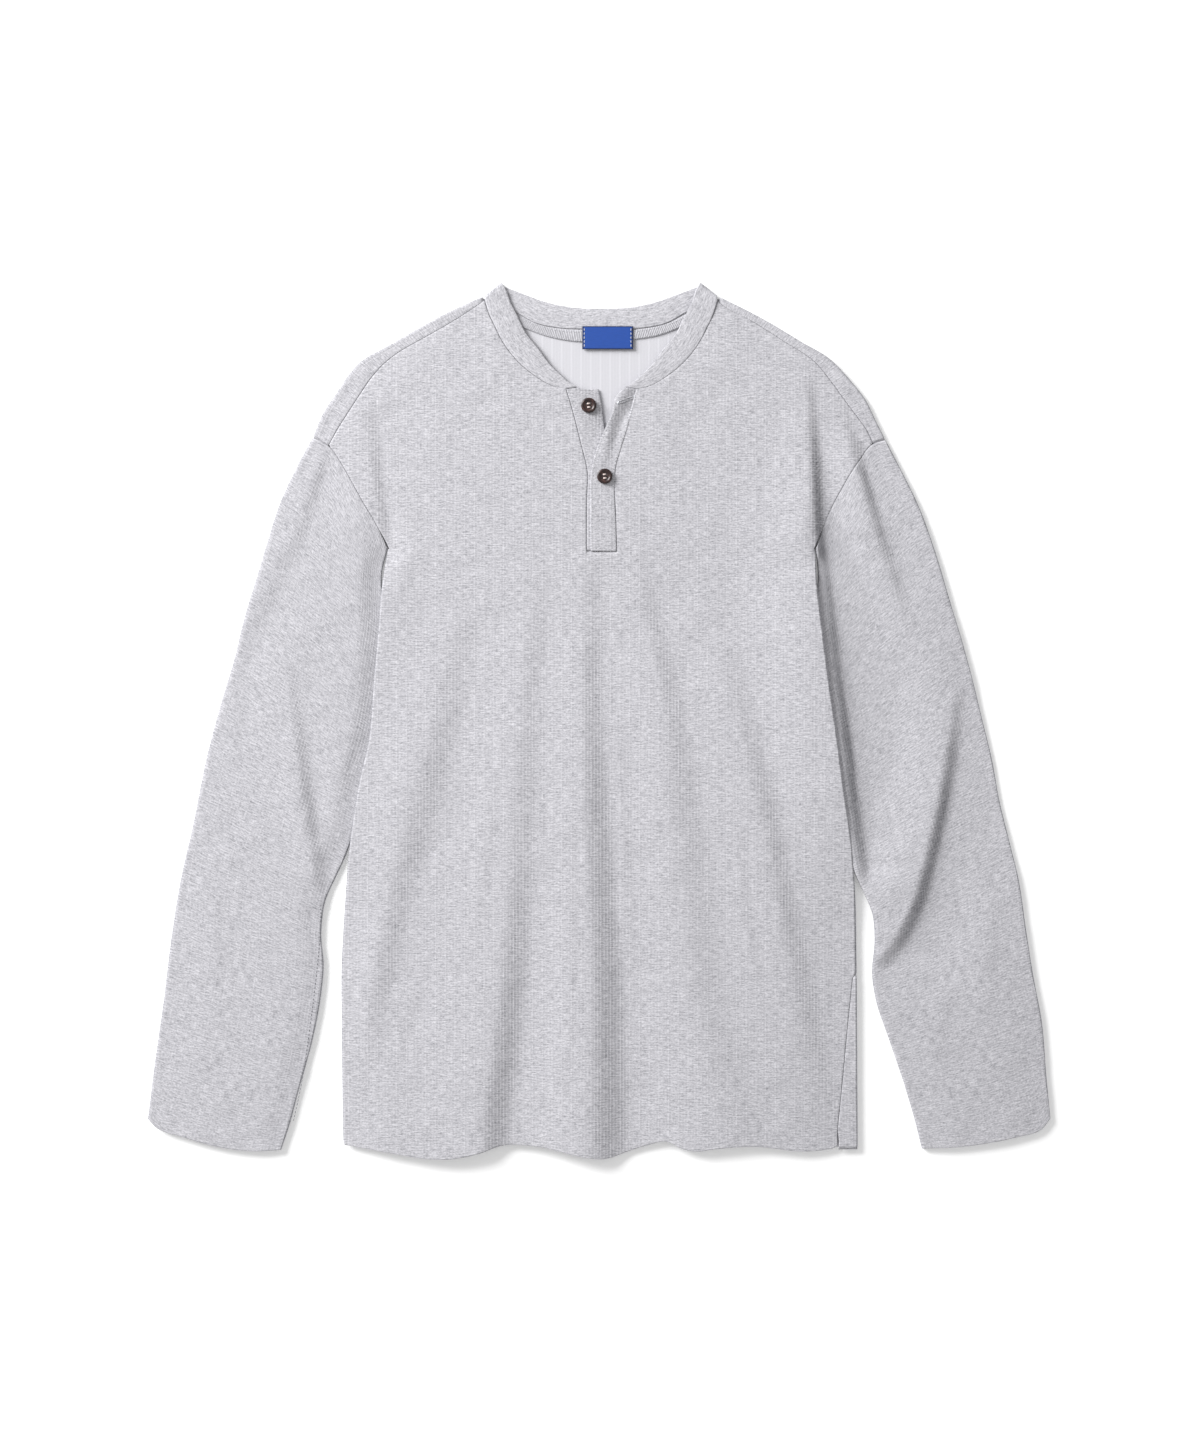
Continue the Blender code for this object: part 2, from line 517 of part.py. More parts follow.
def back_patches():
    """Floor sheet up to the back neck, the shoulder strips and the strip at the right hem."""
    columns = 2 * 6
    wraps = {side["sign"]: shoulder_wrap(side) for side in (LEFT, RIGHT)}
    edges = {}
    for side in (LEFT, RIGHT):
        fold, inward, reach, _ = wraps[side["sign"]]
        shoulder = fold + inward * reach[:, None]
        fractions = armhole_nodes(side)[:0:-1]
        fractions[-1] = (HALF + ROLL) / np.linalg.norm(np.diff(side["armhole"], axis=0), axis=1).sum()
        arm = armhole_line(side, fractions) + armhole_shift(side)
        arm[0, 0] -= side["sign"] * 2 * SEAM_GAP
        shoulder[0] = arm[-1]
        edges[side["sign"]] = (back_side_line(side), np.concatenate((arm, shoulder[1:])))
    left, arm_left = edges[-1]
    right, arm_right = edges[1]
    left[-1] = arm_left[0]
    right[-1] = arm_right[0]
    chest = trace((arm_left[0], arm_right[0]), stations(columns))
    hem = trace(FRONT_HEM, stations(columns)) + (0, BACK_HEM_RISE)
    hem[0] = left[0]
    hem[-1] = right[0]
    half_neck = trace(BACK_NECK_SEAM, stations(columns // 2)) - (0, SEAM_GAP)
    neck = np.concatenate((half_neck, mirrored(half_neck)[::-1][1:]))
    neck[0] = arm_left[-1]
    neck[-1] = arm_right[-1]
    lower = lift(coons(hem, chest, left, right), HALF)
    upper = lift(coons(chest, neck, arm_left, arm_right), HALF)
    patches = [lower, upper]
    for side, column in ((LEFT, 0), (RIGHT, -1)):
        patches.append(shoulder_strip(wraps[side["sign"]], upper[ARMHOLE_ROWS:, column]))
    patches.append(hem_strip(lower[:, -1]))
    return patches


def shoulder_strip(wrap, line):
    """From the floor round the shoulder fold and forwards to the shoulder seam."""
    fold, inward, reach, width = wrap
    plan_top = fold + inward * reach[:, None]
    top = body_height(plan_top)
    under = roll(fold, inward, reach, top, np.full(len(top), HALF), ROLL_ANGLES[::-1])
    under[:, 0] = line
    steps = stations(2)[1:]
    away = reach[:, None] + (width - reach)[:, None] * steps
    plan = fold[:, None] + inward[:, None] * away[..., None]
    return np.concatenate((under, lift(plan, body_height(plan))), axis=1)


def hem_strip(line):
    """Back's right edge near the hem, wrapped forwards to the side seam."""
    line = line[:STRIP_ROWS + 1]
    y = line[:, 1]
    edge = np.stack((body_edge(y, 1) - HALF, y), axis=-1)
    inward = np.tile((-1.0, 0.0), (len(y), 1))
    width = edge[:, 0] - by_height(y, WRAPPED_SEAM, 1) - SEAM_GAP
    reach = np.minimum(ROLL, width * 0.7)
    top = body_height(edge + inward * reach[:, None])
    under = roll(edge, inward, reach, top, np.full(len(y), HALF), ROLL_ANGLES[::-1])
    under[:, 0] = line
    away = reach[:, None] + (width - reach)[:, None] * stations(2)[1:]
    plan = edge[:, None] + inward[:, None] * away[..., None]
    strip = np.concatenate((under, lift(plan, body_height(plan))), axis=1)
    strip[-1, 1:, 1] -= SEAM_GAP
    return strip


def sleeve_rings(side):
    """Rings from armhole to cuff: over the top layer, round the inner edge, back underneath."""
    along = stations(SLEEVE_RINGS) ** ROW_CROWDING
    outer = trace(side["sleeve_outer"], along)
    inner = trace(side["sleeve_inner"], along)
    width = np.linalg.norm(inner - outer, axis=1)
    outer_roll = ROLL_ANGLES[::-1][1:-1]
    inner_roll = ROLL_ANGLES[1:-1]
    outer_share = (HALF + ROLL * (1 - np.cos(outer_roll)))
    inner_share = (HALF + SLEEVE_ROLL * (1 - np.cos(inner_roll)))
    top = stations(SLEEVE_TOP_STEPS)
    bottom = 1 - stations(SLEEVE_BOTTOM_STEPS)
    start = (HALF + ROLL) / width
    end = 1 - (HALF + SLEEVE_ROLL) / width
    flat_top = start[:, None] + (end - start)[:, None] * top
    flat_bottom = start[:, None] + (end - start)[:, None] * bottom
    across = np.concatenate((outer_share / width[:, None], flat_top,
                             1 - inner_share / width[:, None], flat_bottom), axis=1)
    plan = outer[:, None] + (inner - outer)[:, None] * across[..., None]
    cap = armhole_line(side, across[0]) - (outer[0] + (inner[0] - outer[0]) * across[0][:, None])
    fade = (1 - smoothstep(along / CAP_FADE))[:, None, None]
    plan = plan + cap[None] * fade - armhole_shift(side) * fade
    cuff = trace(side["cuff"], across[-1]) - (outer[-1] + (inner[-1] - outer[-1]) * across[-1][:, None])
    plan = plan + cuff[None] * (along ** CUFF_SHARPNESS)[:, None, None]
    height = sleeve_height(plan)
    turns = len(outer_roll)
    first_top = height[:, turns:turns + 1]
    last_top = height[:, turns + SLEEVE_TOP_STEPS:turns + SLEEVE_TOP_STEPS + 1]
    height[:, :turns] = (first_top + HALF) / 2 + (first_top - HALF) / 2 * np.sin(outer_roll)
    after = turns + SLEEVE_TOP_STEPS + 1
    height[:, after:after + turns] = (last_top + HALF) / 2 + (last_top - HALF) / 2 * np.sin(inner_roll)
    height[:, after + turns:] = HALF
    return lift(plan, height)


def neckband_patch():
    """Ribbon from placket top over both shoulders: across it run the seam and free edges."""
    front_steps = stations(10)
    back_steps = stations(6)
    seam_front = trace(np.asarray(NECK_SEAM, float)[::-1], front_steps) + BAND_SEAM_STEP
    free_front = trace(np.asarray(BAND_FREE_EDGE, float)[::-1], front_steps)
    seam_back = trace(BACK_NECK_SEAM, back_steps)
    free_back = trace(BACK_BAND_FREE, back_steps)
    rows = []
    for share in stations(2):
        front = seam_front + (free_front - seam_front) * share
        back = seam_back + (free_back - seam_back) * share
        tip = np.array(BAND_TIP[0]) + (np.array(BAND_TIP[1]) - np.array(BAND_TIP[0])) * share
        inset = tip + np.array(BAND_TIP_STEP)
        top = body_height(front) + BAND_RISE
        turn = ROLL_ANGLES[1:-1]
        middle = (top[-1] + BAND_WALL / 2) / 2
        swing = (top[-1] - BAND_WALL / 2) / 2
        ends = np.where((turn > 0)[:, None], front[-1], back[0])
        plan = inset + (ends - inset) * (1 - np.cos(turn))[:, None]
        rows.append(np.concatenate((lift(front, top), lift(plan, middle + swing * np.sin(turn)),
                                    lift(back, BAND_WALL / 2))))
    half = np.stack(rows, axis=1)
    other = half[::-1][1:] * (-1, 1, 1)
    return np.concatenate((half, other))


def strip_patch(left_line, right_line, columns, offsets, top=None):
    """Placket piece on the front: its points moved up or down from the front's surface."""
    bottom = trace((left_line[0], right_line[0]), stations(columns))
    if top is None:
        top = (left_line[-1], right_line[-1])
    top_line = trace(top, stations(columns))
    left_line[-1] = top_line[0]
    right_line[-1] = top_line[-1]
    plan = coons(bottom, top_line, left_line, right_line)
    share = stations(columns)
    return lift(plan, body_height(plan) + offsets[0] + (offsets[1] - offsets[0]) * share)


def under_patch():
    """Under piece, from the slit's left edge to its own free edge below the fly."""
    rows = stations(UPPER_ROWS)
    left = trace(SLIT_LEFT, rows) + (SEAM_GAP, 0)
    left[0, 1] = UNDER_RIGHT[0][1]
    return strip_patch(left, trace(UNDER_RIGHT, rows), 3, (-UNDER_DROP[0], -UNDER_DROP[1]))


def fly_patch():
    """Fly, from its free left edge to the slit's right edge, its top corner turned."""
    rows = stations(UPPER_ROWS)
    right = trace(SLIT_RIGHT, rows) - (SEAM_GAP, 0)
    right[0, 1] = FLY_LEFT[0][1]
    return strip_patch(trace(FLY_LEFT, rows), right, 4, FLY_RISE, FLY_TOP)


def tape_patch():
    """Strip on the back panel, under the neckband's seam."""
    steps = stations(12)
    lower = trace(TAPE_LOWER, steps)
    upper = trace(TAPE_UPPER, steps)
    return lift(np.stack((lower, upper)), WALL + SEAM_GAP + TAPE_WALL / 2)


def label_patch():
    """Flat rectangle on the tape."""
    x, y = LABEL_CENTRE
    half_x, half_y = LABEL_SIZE[0] / 2, LABEL_SIZE[1] / 2
    corners = (((x - half_x, y - half_y), (x + half_x, y - half_y)),
               ((x - half_x, y + half_y), (x + half_x, y + half_y)))
    return lift(np.array(corners), WALL + 2 * SEAM_GAP + TAPE_WALL + LABEL_WALL / 2)


def add_button(name, seat, shader, collection, cutters):
    """Turned disc with a raised rim and a dished middle, with four holes cut through."""
    radius = BUTTON_DIAMETER / 2
    profile = ((0.0, 0.0), (radius - 1.0, 0.0), (radius, 0.9), (radius, 1.9), (radius - 0.7, BUTTON_THICKNESS),
               (radius - 1.5, BUTTON_THICKNESS - 0.1), (radius - 2.3, 1.8), (0.0, 1.7))
    bm = bmesh.new()
    verts = [bm.verts.new((r * MM, 0.0, z * MM)) for r, z in profile]
    edges = [bm.edges.new(pair) for pair in zip(verts[:-1], verts[1:])]
    bmesh.ops.spin(bm, geom=verts + edges, cent=(0, 0, 0), axis=(0, 0, 1), angle=math.tau, steps=24,
                   use_merge=True)
    bmesh.ops.remove_doubles(bm, verts=bm.verts, dist=0.00001)
    bmesh.ops.recalc_face_normals(bm, faces=bm.faces)
    mesh = bpy.data.meshes.new(name)
    bm.to_mesh(mesh)
    bm.free()
    obj = add_object(name, mesh, shader, collection)
    obj.location = np.array(seat) * MM
    for index in range(4):
        angle = math.radians(BUTTON_TURN + 90 * index)
        bm = bmesh.new()
        bmesh.ops.create_cone(bm, cap_ends=True, segments=8, radius1=BUTTON_HOLE / 2 * MM,
                              radius2=BUTTON_HOLE / 2 * MM, depth=4 * BUTTON_THICKNESS * MM)
        hole = bpy.data.meshes.new(f"{name}_hole_{index}")
        bm.to_mesh(hole)
        bm.free()
        cutter = bpy.data.objects.new(hole.name, hole)
        spread = BUTTON_HOLE_SPACING / math.sqrt(2)
        cutter.location = (np.array(seat) + (spread * math.cos(angle), spread * math.sin(angle), 0)) * MM
        cutter.hide_render = True
        cutter.display_type = "WIRE"
        cutters.objects.link(cutter)
        cut = obj.modifiers.new(f"hole_{index}", "BOOLEAN")
        cut.operation = "DIFFERENCE"
        cut.object = cutter
    return obj


def button_seat(name, offset):
    """Centre of a button's underside, clear of the highest cloth below it."""
    x, y = BUTTONS[name]
    angles = np.linspace(0, math.tau, 16, endpoint=False)
    rim = np.stack((x + np.cos(angles) * BUTTON_DIAMETER / 2, y + np.sin(angles) * BUTTON_DIAMETER / 2), -1)
    top = body_height(np.concatenate((rim, [[x, y]]))).max()
    return x + CENTRING[0], y + CENTRING[1], top + offset + PLACKET_WALL / 2 + SEAM_GAP


def main():
    for obj in list(bpy.data.objects):
        bpy.data.objects.remove(obj)
    shirt = bpy.data.collections.new(COLLECTION)
    cutters = bpy.data.collections.new("cutters")
    for collection in (shirt, cutters):
        bpy.context.scene.collection.children.link(collection)

    grey = (0.63, 0.63, 0.67)
    knit = {name: material(name, grey, 0.9) for name in ("front", "back", "sleeve_left", "sleeve_right")}
    cloth("front", front_patches(), WALL, knit["front"], shirt)
    cloth("back", back_patches(), WALL, knit["back"], shirt)
    cloth("sleeve_left", [sleeve_rings(LEFT)], WALL, knit["sleeve_left"], shirt, ring=True)
    cloth("sleeve_right", [sleeve_rings(RIGHT)], WALL, knit["sleeve_right"], shirt, ring=True)
    cloth("neckband", [neckband_patch()], BAND_WALL, material("neckband", (0.62, 0.62, 0.66), 0.9), shirt)
    cloth("placket_under", [under_patch()], PLACKET_WALL, material("placket_under", grey, 0.9), shirt)
    cloth("placket_upper", [fly_patch()], PLACKET_WALL, material("placket_upper", grey, 0.9), shirt)
    cloth("neck_tape", [tape_patch()], TAPE_WALL, material("neck_tape", (0.66, 0.66, 0.7), 0.85), shirt)
    cloth("label", [label_patch()], LABEL_WALL, material("label", (0.03, 0.09, 0.42), 0.6), shirt)
    brown = (0.07, 0.04, 0.035)
    add_button("button_upper", button_seat("button_upper", -UNDER_DROP[0]),
               material("button_upper", brown, 0.3), shirt, cutters)
    add_button("button_lower", button_seat("button_lower", FLY_RISE[0]),
               material("button_lower", brown, 0.3), shirt, cutters)


if __name__ == "__main__":
    main()
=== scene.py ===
"""Henley shirt lying flat: knit panels, neckband, placket, buttons, label and sewing."""
import math

import bmesh
import bpy
import numpy as np
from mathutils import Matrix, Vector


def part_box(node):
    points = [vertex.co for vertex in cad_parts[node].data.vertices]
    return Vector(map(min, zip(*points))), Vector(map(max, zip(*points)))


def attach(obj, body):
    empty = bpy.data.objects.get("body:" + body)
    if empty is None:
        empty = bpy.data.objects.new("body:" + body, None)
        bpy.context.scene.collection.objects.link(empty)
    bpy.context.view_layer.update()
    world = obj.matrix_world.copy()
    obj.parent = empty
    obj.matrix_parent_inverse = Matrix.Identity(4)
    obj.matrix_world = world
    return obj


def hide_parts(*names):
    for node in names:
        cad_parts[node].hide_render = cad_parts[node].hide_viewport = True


bl_info = {
    "name": "Henley Shirt Laid Flat",
    "version": (1, 0, 0),
    "blender": (4, 5, 0),
    "location": "View3D > Sidebar > Henley",
    "description": "Knit panels, placket, buttons, label and sewing of a henley shirt lying flat",
    "category": "Object",
}

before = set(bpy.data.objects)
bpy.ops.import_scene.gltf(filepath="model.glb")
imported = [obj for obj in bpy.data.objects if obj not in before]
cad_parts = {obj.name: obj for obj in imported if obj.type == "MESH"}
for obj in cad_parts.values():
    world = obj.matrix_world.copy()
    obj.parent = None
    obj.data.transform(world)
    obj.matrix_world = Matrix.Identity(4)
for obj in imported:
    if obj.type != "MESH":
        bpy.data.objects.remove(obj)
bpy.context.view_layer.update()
MM = 0.001
MIDDLE = 2.5                    # height between the shirt's lower and upper layers, mm
CENTRING = (1.5, 0.45, 0.0)     # from the zero of the tables to the frame's, mm
# the knit's colour reads lean and rim for painted shade: on slopes falling away from the lamp and on edges
# facing it
KNIT_MAP, LEAN, LAMP_RIM_SHADE = "knit", "lean", "rim"         # names of the map and of the points' own measures
MERGE, BUTTON_MERGE, SLIVER = 1e-5, 5e-6, 1e-6      # metres: nearer points are one, thinner faces go

# Cut and fold edges of each side, millimetres: x, y. The dip beside the body follows pit_crease and then
# sleeve_inner: pit_top is its lowest height and pit_blend the reach of its soft end. At the crease's inner
# side it keeps inner_share of its depth, and above the underarm crease_depth of it.
LEFT = {
    "sign": -1,
    "shoulder_fold": ((-97.8, 350.6), (-112, 344), (-135, 333), (-158, 320), (-179, 308),
                      (-198, 297), (-209, 285), (-219, 270), (-229, 255), (-238, 234)),
    "shoulder_seam": ((-97, 346.6), (-108, 339), (-134, 323), (-150, 314), (-166, 305),
                      (-179, 295), (-189, 284), (-198, 271), (-209, 254), (-219, 238), (-225, 227)),
    "armhole": ((-238, 234), (-225, 227), (-214, 212), (-206, 198), (-196, 180),
                (-187, 165), (-181, 153), (-176.4, 142)),
    "sleeve_outer": ((-238, 234), (-250, 212), (-265, 180), (-275, 149), (-285, 116), (-295, 83),
                     (-303, 50), (-313, 17), (-326, -32), (-336, -82), (-347, -131), (-355, -181),
                     (-361, -230), (-368, -280), (-374, -328)),
    "sleeve_inner": ((-176.6, 142), (-181.5, 120), (-180, 100), (-174, 72), (-175, 26), (-180, -12),
                     (-194, -54), (-207, -101), (-212, -114), (-219, -129), (-227, -147),
                     (-231, -177), (-229, -202), (-231, -225), (-239, -266), (-250, -304),
                     (-257, -328), (-264, -346)),
    "cuff": ((-374, -328), (-369, -334), (-343, -344), (-318, -351), (-288, -355), (-264, -354)),
    "inner_share": 1.0,
    "pit_crease": ((-188, 262), (-185, 215), (-181, 165), (-176.4, 142)),
    "crease_depth": 0.3,
    "pit_top": 2.9,
    "pit_blend": 21.0,
}
RIGHT = {
    "sign": 1,
    "shoulder_fold": ((98, 350.2), (119, 340), (141, 328), (164, 314), (189, 299),
                      (207, 280), (218, 266), (227, 248), (235, 232)),
    "shoulder_seam": ((97.4, 346), (102, 342), (121, 332), (150, 314), (178, 295),
                      (191, 279), (202, 264), (211, 252), (219, 241), (225, 229)),
    "armhole": ((235, 232), (225, 229), (214, 216), (206, 204), (198, 190),
                (190, 175), (182, 156), (177.4, 142)),
    "sleeve_outer": ((235, 232), (248, 207), (263, 176), (277, 137), (288, 100), (298, 67),
                     (307, 34), (315, 1), (323, -32), (329, -65), (337, -98), (345, -131),
                     (351, -172), (357, -210), (364, -248), (368, -296), (371, -328)),
    "sleeve_inner": ((177.7, 142), (179.6, 120), (178, 100), (173, 72), (176, 26), (184, -12),
                     (197, -68), (209, -125), (217, -142), (224, -159), (226, -180),
                     (224, -210), (227, -230), (238, -263), (250, -298), (260, -331), (265, -350)),
    "cuff": ((371, -328), (365, -336), (341, -344), (316, -349), (290, -352), (265, -353)),
    "inner_share": 0.25,
    "pit_crease": ((175, 272), (175, 200), (174, 165), (177.4, 142)),
    "crease_depth": 0.4,
    "pit_top": 2.5,
    "pit_blend": 34.0,
}
SIDES = (LEFT, RIGHT)
SLEEVE_SEAM = ((-231.2, -150), (-231.8, -175), (-234.5, -205), (-240, -250), (-247.5, -301), (-254, -331))

# Body's side edges: y, left x, right x
BODY_EDGE = ((-345, -213, 212), (-263, -214, 211.5), (-197, -214, 211), (-148, -211, 210),
             (-100, -207, 206.5), (-54, -200, 200), (-12, -191, 194.5), (26, -188, 189),
             (72, -184, 183), (117, -180, 178), (142, -176, 177))
# Body's side roll: y, top at left and at right, underside, reach
SIDE_ROLL = ((-345, 4.4, 4.4, 0.6, 1.4), (-172, 5.0, 5.0, 0.6, 1.4), (-112, 7.2, 8.4, 5.2, 0.9),
             (-60, 7.2, 11.8, 5.2, 0.9), (70, 7.2, 12.2, 5.2, 0.9), (112, 6.9, 10.4, 5.0, 0.9),
             (142, 6.4, 8.2, 2.2, 0.8))
PIT_RISE = (1.0, 2.8)           # rise of all layers at each armpit, as the side roll has at its top end
PIT_RISE_ABOVE, PIT_RISE_BELOW, PIT_RISE_OUT = 60.0, 9.0, 16.0      # its reach upwards, down and outwards
CREASE_TURN, PIT_TURN = 14.0, 16.0      # widths of the dip's soft steps across the crease and down past it
CREASE_FADE = 6                         # power by which it fades above the underarm
SIDE_BLEND = (40.0, 75.0)       # how far in from the left and from the right side its height tells
# Back panel's edge inside the body's edge: y, distance
BACK_INSET = ((-345, 4.4), (-118, 4.4), (-101, 5.0), (-54, 8.5), (-12, 13.0), (26, 15.0),
              (72, 13.0), (98, 5.5), (118, 2.8), (142, 2.0))
# Right side seam where the back wraps forwards: y, x
WRAPPED_SEAM = ((-345, 195), (-334, 195.5), (-310, 198), (-290, 200), (-252, 203.5), (-210, 207.9))
WRAP_START = -210.0
VENT, VENT_REACH = 1.3, 7.0         # how far the wrapped strip's seam opens at the hem
FRONT_HEM = ((-209.4, -350), (-164, -358), (-144, -361), (-122, -361), (-102, -357), (-80, -350),
             (-64, -350), (-46, -352), (-30, -356), (-12, -360), (4, -361), (23, -355), (39, -350),
             (54, -347), (67, -353), (80, -355), (94, -353), (125, -351), (172, -355),
             (187, -353.5), (192.5, -352.2), (194.9, -350))
BACK_HEM_RISE = 2.0
STRIP_FALL, STRIP_REACH = 5.5, 24.0     # how far the hem of the wrapped strip hangs lower
HEM_TURN = 25.0

# Neck: x, y
NECK_SEAM = ((-96, 347), (-93, 337), (-87, 324), (-82, 314), (-71, 299), (-55, 285),
             (-40, 276.5), (-29, 274))
BAND_FREE_EDGE = ((-78, 355), (-75, 346), (-70, 336), (-62, 320), (-50, 305), (-43, 295),
                  (-35, 287), (-26, 279), (-20, 275.5))
BAND_TIP = ((-96, 351), (-82, 362.2))
BACK_NECK_SEAM = ((-95, 348), (-82, 344), (-69, 337), (-54, 329), (-35, 325), (-16, 324), (0, 324))
BACK_BAND_FREE = ((-80.5, 359), (-68, 354.3), (-46, 346.3), (-20, 341.3), (0, 340.8))
TAPE_LOWER = ((-67, 326), (-45, 318), (-25, 314), (0, 313.5), (29, 315.5), (47, 318.5), (67.5, 326))
TAPE_UPPER = ((-72, 336), (-54, 328), (-35, 323.8), (0, 322.6), (35, 323.8), (54, 328), (72, 336))
LABEL_CENTRE = (5.5, 316.5)
LABEL_SIZE = (42.0, 19.0)

# Placket: x, y
SLIT_LEFT = ((-12, 140), (-12, 158), (-11.7, 187), (-11, 203), (-12.8, 214), (-16.2, 227),
             (-19.4, 240), (-23.5, 256), (-29, 274))
SLIT_RIGHT = ((13, 140), (12, 172), (11, 195), (12, 208), (16, 223), (22, 242), (26, 255), (31, 273))
UNDER_RIGHT = ((11, 140.25), (10, 172), (9.3, 195), (9, 208), (6, 224), (3, 240), (1, 257), (-2, 274))
FLY_LEFT = ((-8.4, 140.25), (-8.8, 158), (-8.8, 187), (-8.4, 202), (-6.4, 214), (-1, 231), (3, 240),
            (9, 253), (11.5, 266))
FLY_TOP = ((11.5, 266), (14.8, 270.4), (20.3, 274.7), (26, 274.2), (30.8, 273))
UNDER_TOP = ((-28.8, 273.9), (-24, 274.5), (-19.5, 275), (-15, 274.3), (-2, 274))
UNDER_RISE = (-0.3, -1.4)           # under piece over the body's height, at its seam and at its free edge
UNDER_SINK = (1.5, 222, 30)         # further fall of its free edge above the fly: drop, from y, over
FLY_RISE = (1.3, 0.4)
FOOT_DROP, FOOT_REACH = 0.25, 5.0    # how far both placket pieces sink at their sewn foot
BUTTON_FOOT, BUTTON_CLEAR = 5.0, 0.12
BUTTONHOLE = ((15.0, 262.6), (27.2, 267.4))
BAR_SPAN, BAR_STEP, BAR_END = (0.25, 1.4), 0.55, 1.3        # of the bars beside it and across its ends

# Folds, each a fall to the right of its path that the cloth climbs back from gently:
# layer, length of the climb, then the path: x, y, drop, width of the fall
FOLDS = (
    ("body", 44, ((-7, 145, 0, 16), (-6, 100, 1.4, 18), (-7, 50, 2.4, 20), (-7, 17, 3, 22),
                  (-3, -65, 4.8, 24), (2, -148, 5.8, 26), (6, -230, 7.2, 31), (7, -313, 7.8, 35),
                  (7, -369, 7.8, 35))),
    ("body", 38, ((-44, 133, 0, 18), (-50, 100, 1, 20), (-58, 17, 2, 24), (-63, -65, 2.5, 26),
                  (-67, -148, 3.3, 26), (-73, -230, 4.8, 25), (-83, -313, 5.8, 27), (-89, -369, 6, 27))),
    ("body", 42, ((-102, 116, 0, 26), (-112, 67, 1.2, 28), (-123, 17, 2.3, 30), (-143, -65, 3, 30),
                  (-166, -148, 2.4, 28), (-186, -230, 3.2, 25), (-197, -300, 1.8, 23),
                  (-200, -345, 0.6, 23))),
    ("body", 42, ((31, 143, 0, 14), (40, 100, 1.6, 16), (59, 17, 2.2, 20), (71, -65, 2.7, 30),
                  (81, -148, 2.5, 34), (88, -230, 2.4, 38), (113, -313, 2.2, 42), (129, -369, 1.6, 42))),
    ("body", 36, ((98, 71, 0, 16), (116, 17, 1.5, 20), (138, -65, 3.2, 21), (153, -148, 3.2, 20),
                  (171, -230, 2.4, 21), (186, -296, 1.5, 21), (192, -354, 0, 21))),
    ("both", 24, ((172, 291, 0, 6), (174, 257, 1.9, 6.5), (176, 232, 3.3, 7), (177.5, 207, 4.8, 7.5),
                  (178.5, 180, 6.2, 8), (180, 162, 6.6, 8), (181, 148, 5.4, 8), (182, 128, 0, 9))),
    ("both", 28, ((-195, 280, 0, 9), (-188, 240, 1, 10), (-184, 199, 1.9, 11), (-179, 166, 2.2, 11),
                  (-179, 136, 0, 11))),
    ("both", 20, ((198, 269, 0, 6), (205, 240, 1.2, 7), (212, 219, 3.2, 10), (219, 195, 4.3, 11),
                  (230, 158, 3.5, 12), (243, 120, 2.4, 13), (251, 92, 1.1, 14), (257, 57, 0, 14))),
    ("sleeves", 44, ((183, 152, 0, 9), (185.5, 140, 3.2, 11), (188, 124, 5.8, 17), (191, 100, 7.6, 20),
                     (194.5, 66, 8.8, 20), (197.5, 40, 9.6, 19), (201, 15, 10.0, 18.5),
                     (206.5, -36, 10.0, 16), (212, -88, 7.0, 15), (216, -119, 4.6, 12),
                     (219, -140, 0, 9))),
    ("sleeves", 20, ((-222, 232, 0, 10), (-233, 199, 1.4, 10), (-244, 166, 1.1, 13), (-261, 129, 1.1, 16),
                     (-275, 100, 1.2, 18), (-290, 67, 0.6, 18), (-304, 26, 0, 18))),
    ("sleeves", 16, ((-258, 67, 0, 10), (-252, 17, 0.9, 11), (-246, -32, 2, 12), (-242, -65, 2.8, 13),
                     (-235, -106, 2.3, 13), (-229, -144, 1, 12), (-224, -163, 0, 12))),
    ("sleeves", 40, ((298, 35, 0, 8), (294, 7, 1.8, 12), (289, -32, 4.8, 14), (284, -65, 7.4, 15),
                     (276, -106, 8.8, 16), (264, -148, 8.8, 16), (251, -177, 7.2, 16), (238, -195, 3.6, 14),
                     (227, -207, 0.9, 12), (219, -218, 0, 10))),
    ("body", 14, ((-40, 262, 0, 6), (-33, 240, 0.3, 7), (-26, 218, 0, 7))),
    ("body", 9, ((58, 288, 0, 2), (56, 277, 0.4, 2.4), (54, 266, 0, 3))),
    ("body", 16, ((16, 20, 0, 8), (20, -60, 0.5, 9), (24, -150, 0.5, 9), (28, -220, 0, 9))),
    ("body", 14, ((-24, -60, 0, 7), (-22, -150, 0.5, 8), (-24, -250, 0.5, 8), (-30, -330, 0, 8))),
    ("body", 16, ((-84, -20, 0, 8), (-94, -120, 0.6, 8), (-108, -220, 0, 8))),
    ("body", 18, ((110, -70, 0, 8), (122, -160, 0.6, 9), (136, -240, 0.4, 9), (146, -300, 0, 9))),
    ("body", 16, ((-140, -190, 0, 8), (-154, -240, 0.5, 8), (-172, -300, 0, 8))),
    ("sleeves", 6, ((224, -194, 0, 2), (230, -189, 0.8, 3), (241, -181, 0, 3))),
    ("sleeves", 9, ((230, -178, 0, 4), (250, -160, 0.5, 5), (263, -128, 0, 5))),
    ("sleeves", 18, ((-300, 60, 0, 9), (-298, 0, 0.4, 9), (-302, -60, 0, 9))),
    ("sleeves", 18, ((-322, -120, 0, 9), (-314, -190, 0.4, 9), (-312, -260, 0, 9))),
    ("sleeves", 18, ((328, -130, 0, 9), (322, -200, 0.4, 9), (320, -280, 0, 9))),
    ("sleeves", 16, ((292, -215, 0, 8), (282, -255, 0.5, 9), (276, -305, 0, 9))),
    ("fly", 4, ((26, 276, 1.3, 10), (22.5, 267, 2.2, 11), (18, 259, 2.4, 11), (13.3, 250, 2.3, 10),
                 (9, 235, 1.8, 8), (6, 221, 0.9, 7), (3, 205, 0, 6))),
)
CREST = 0.45        # share of a fold's drop that stands above the cloth's level
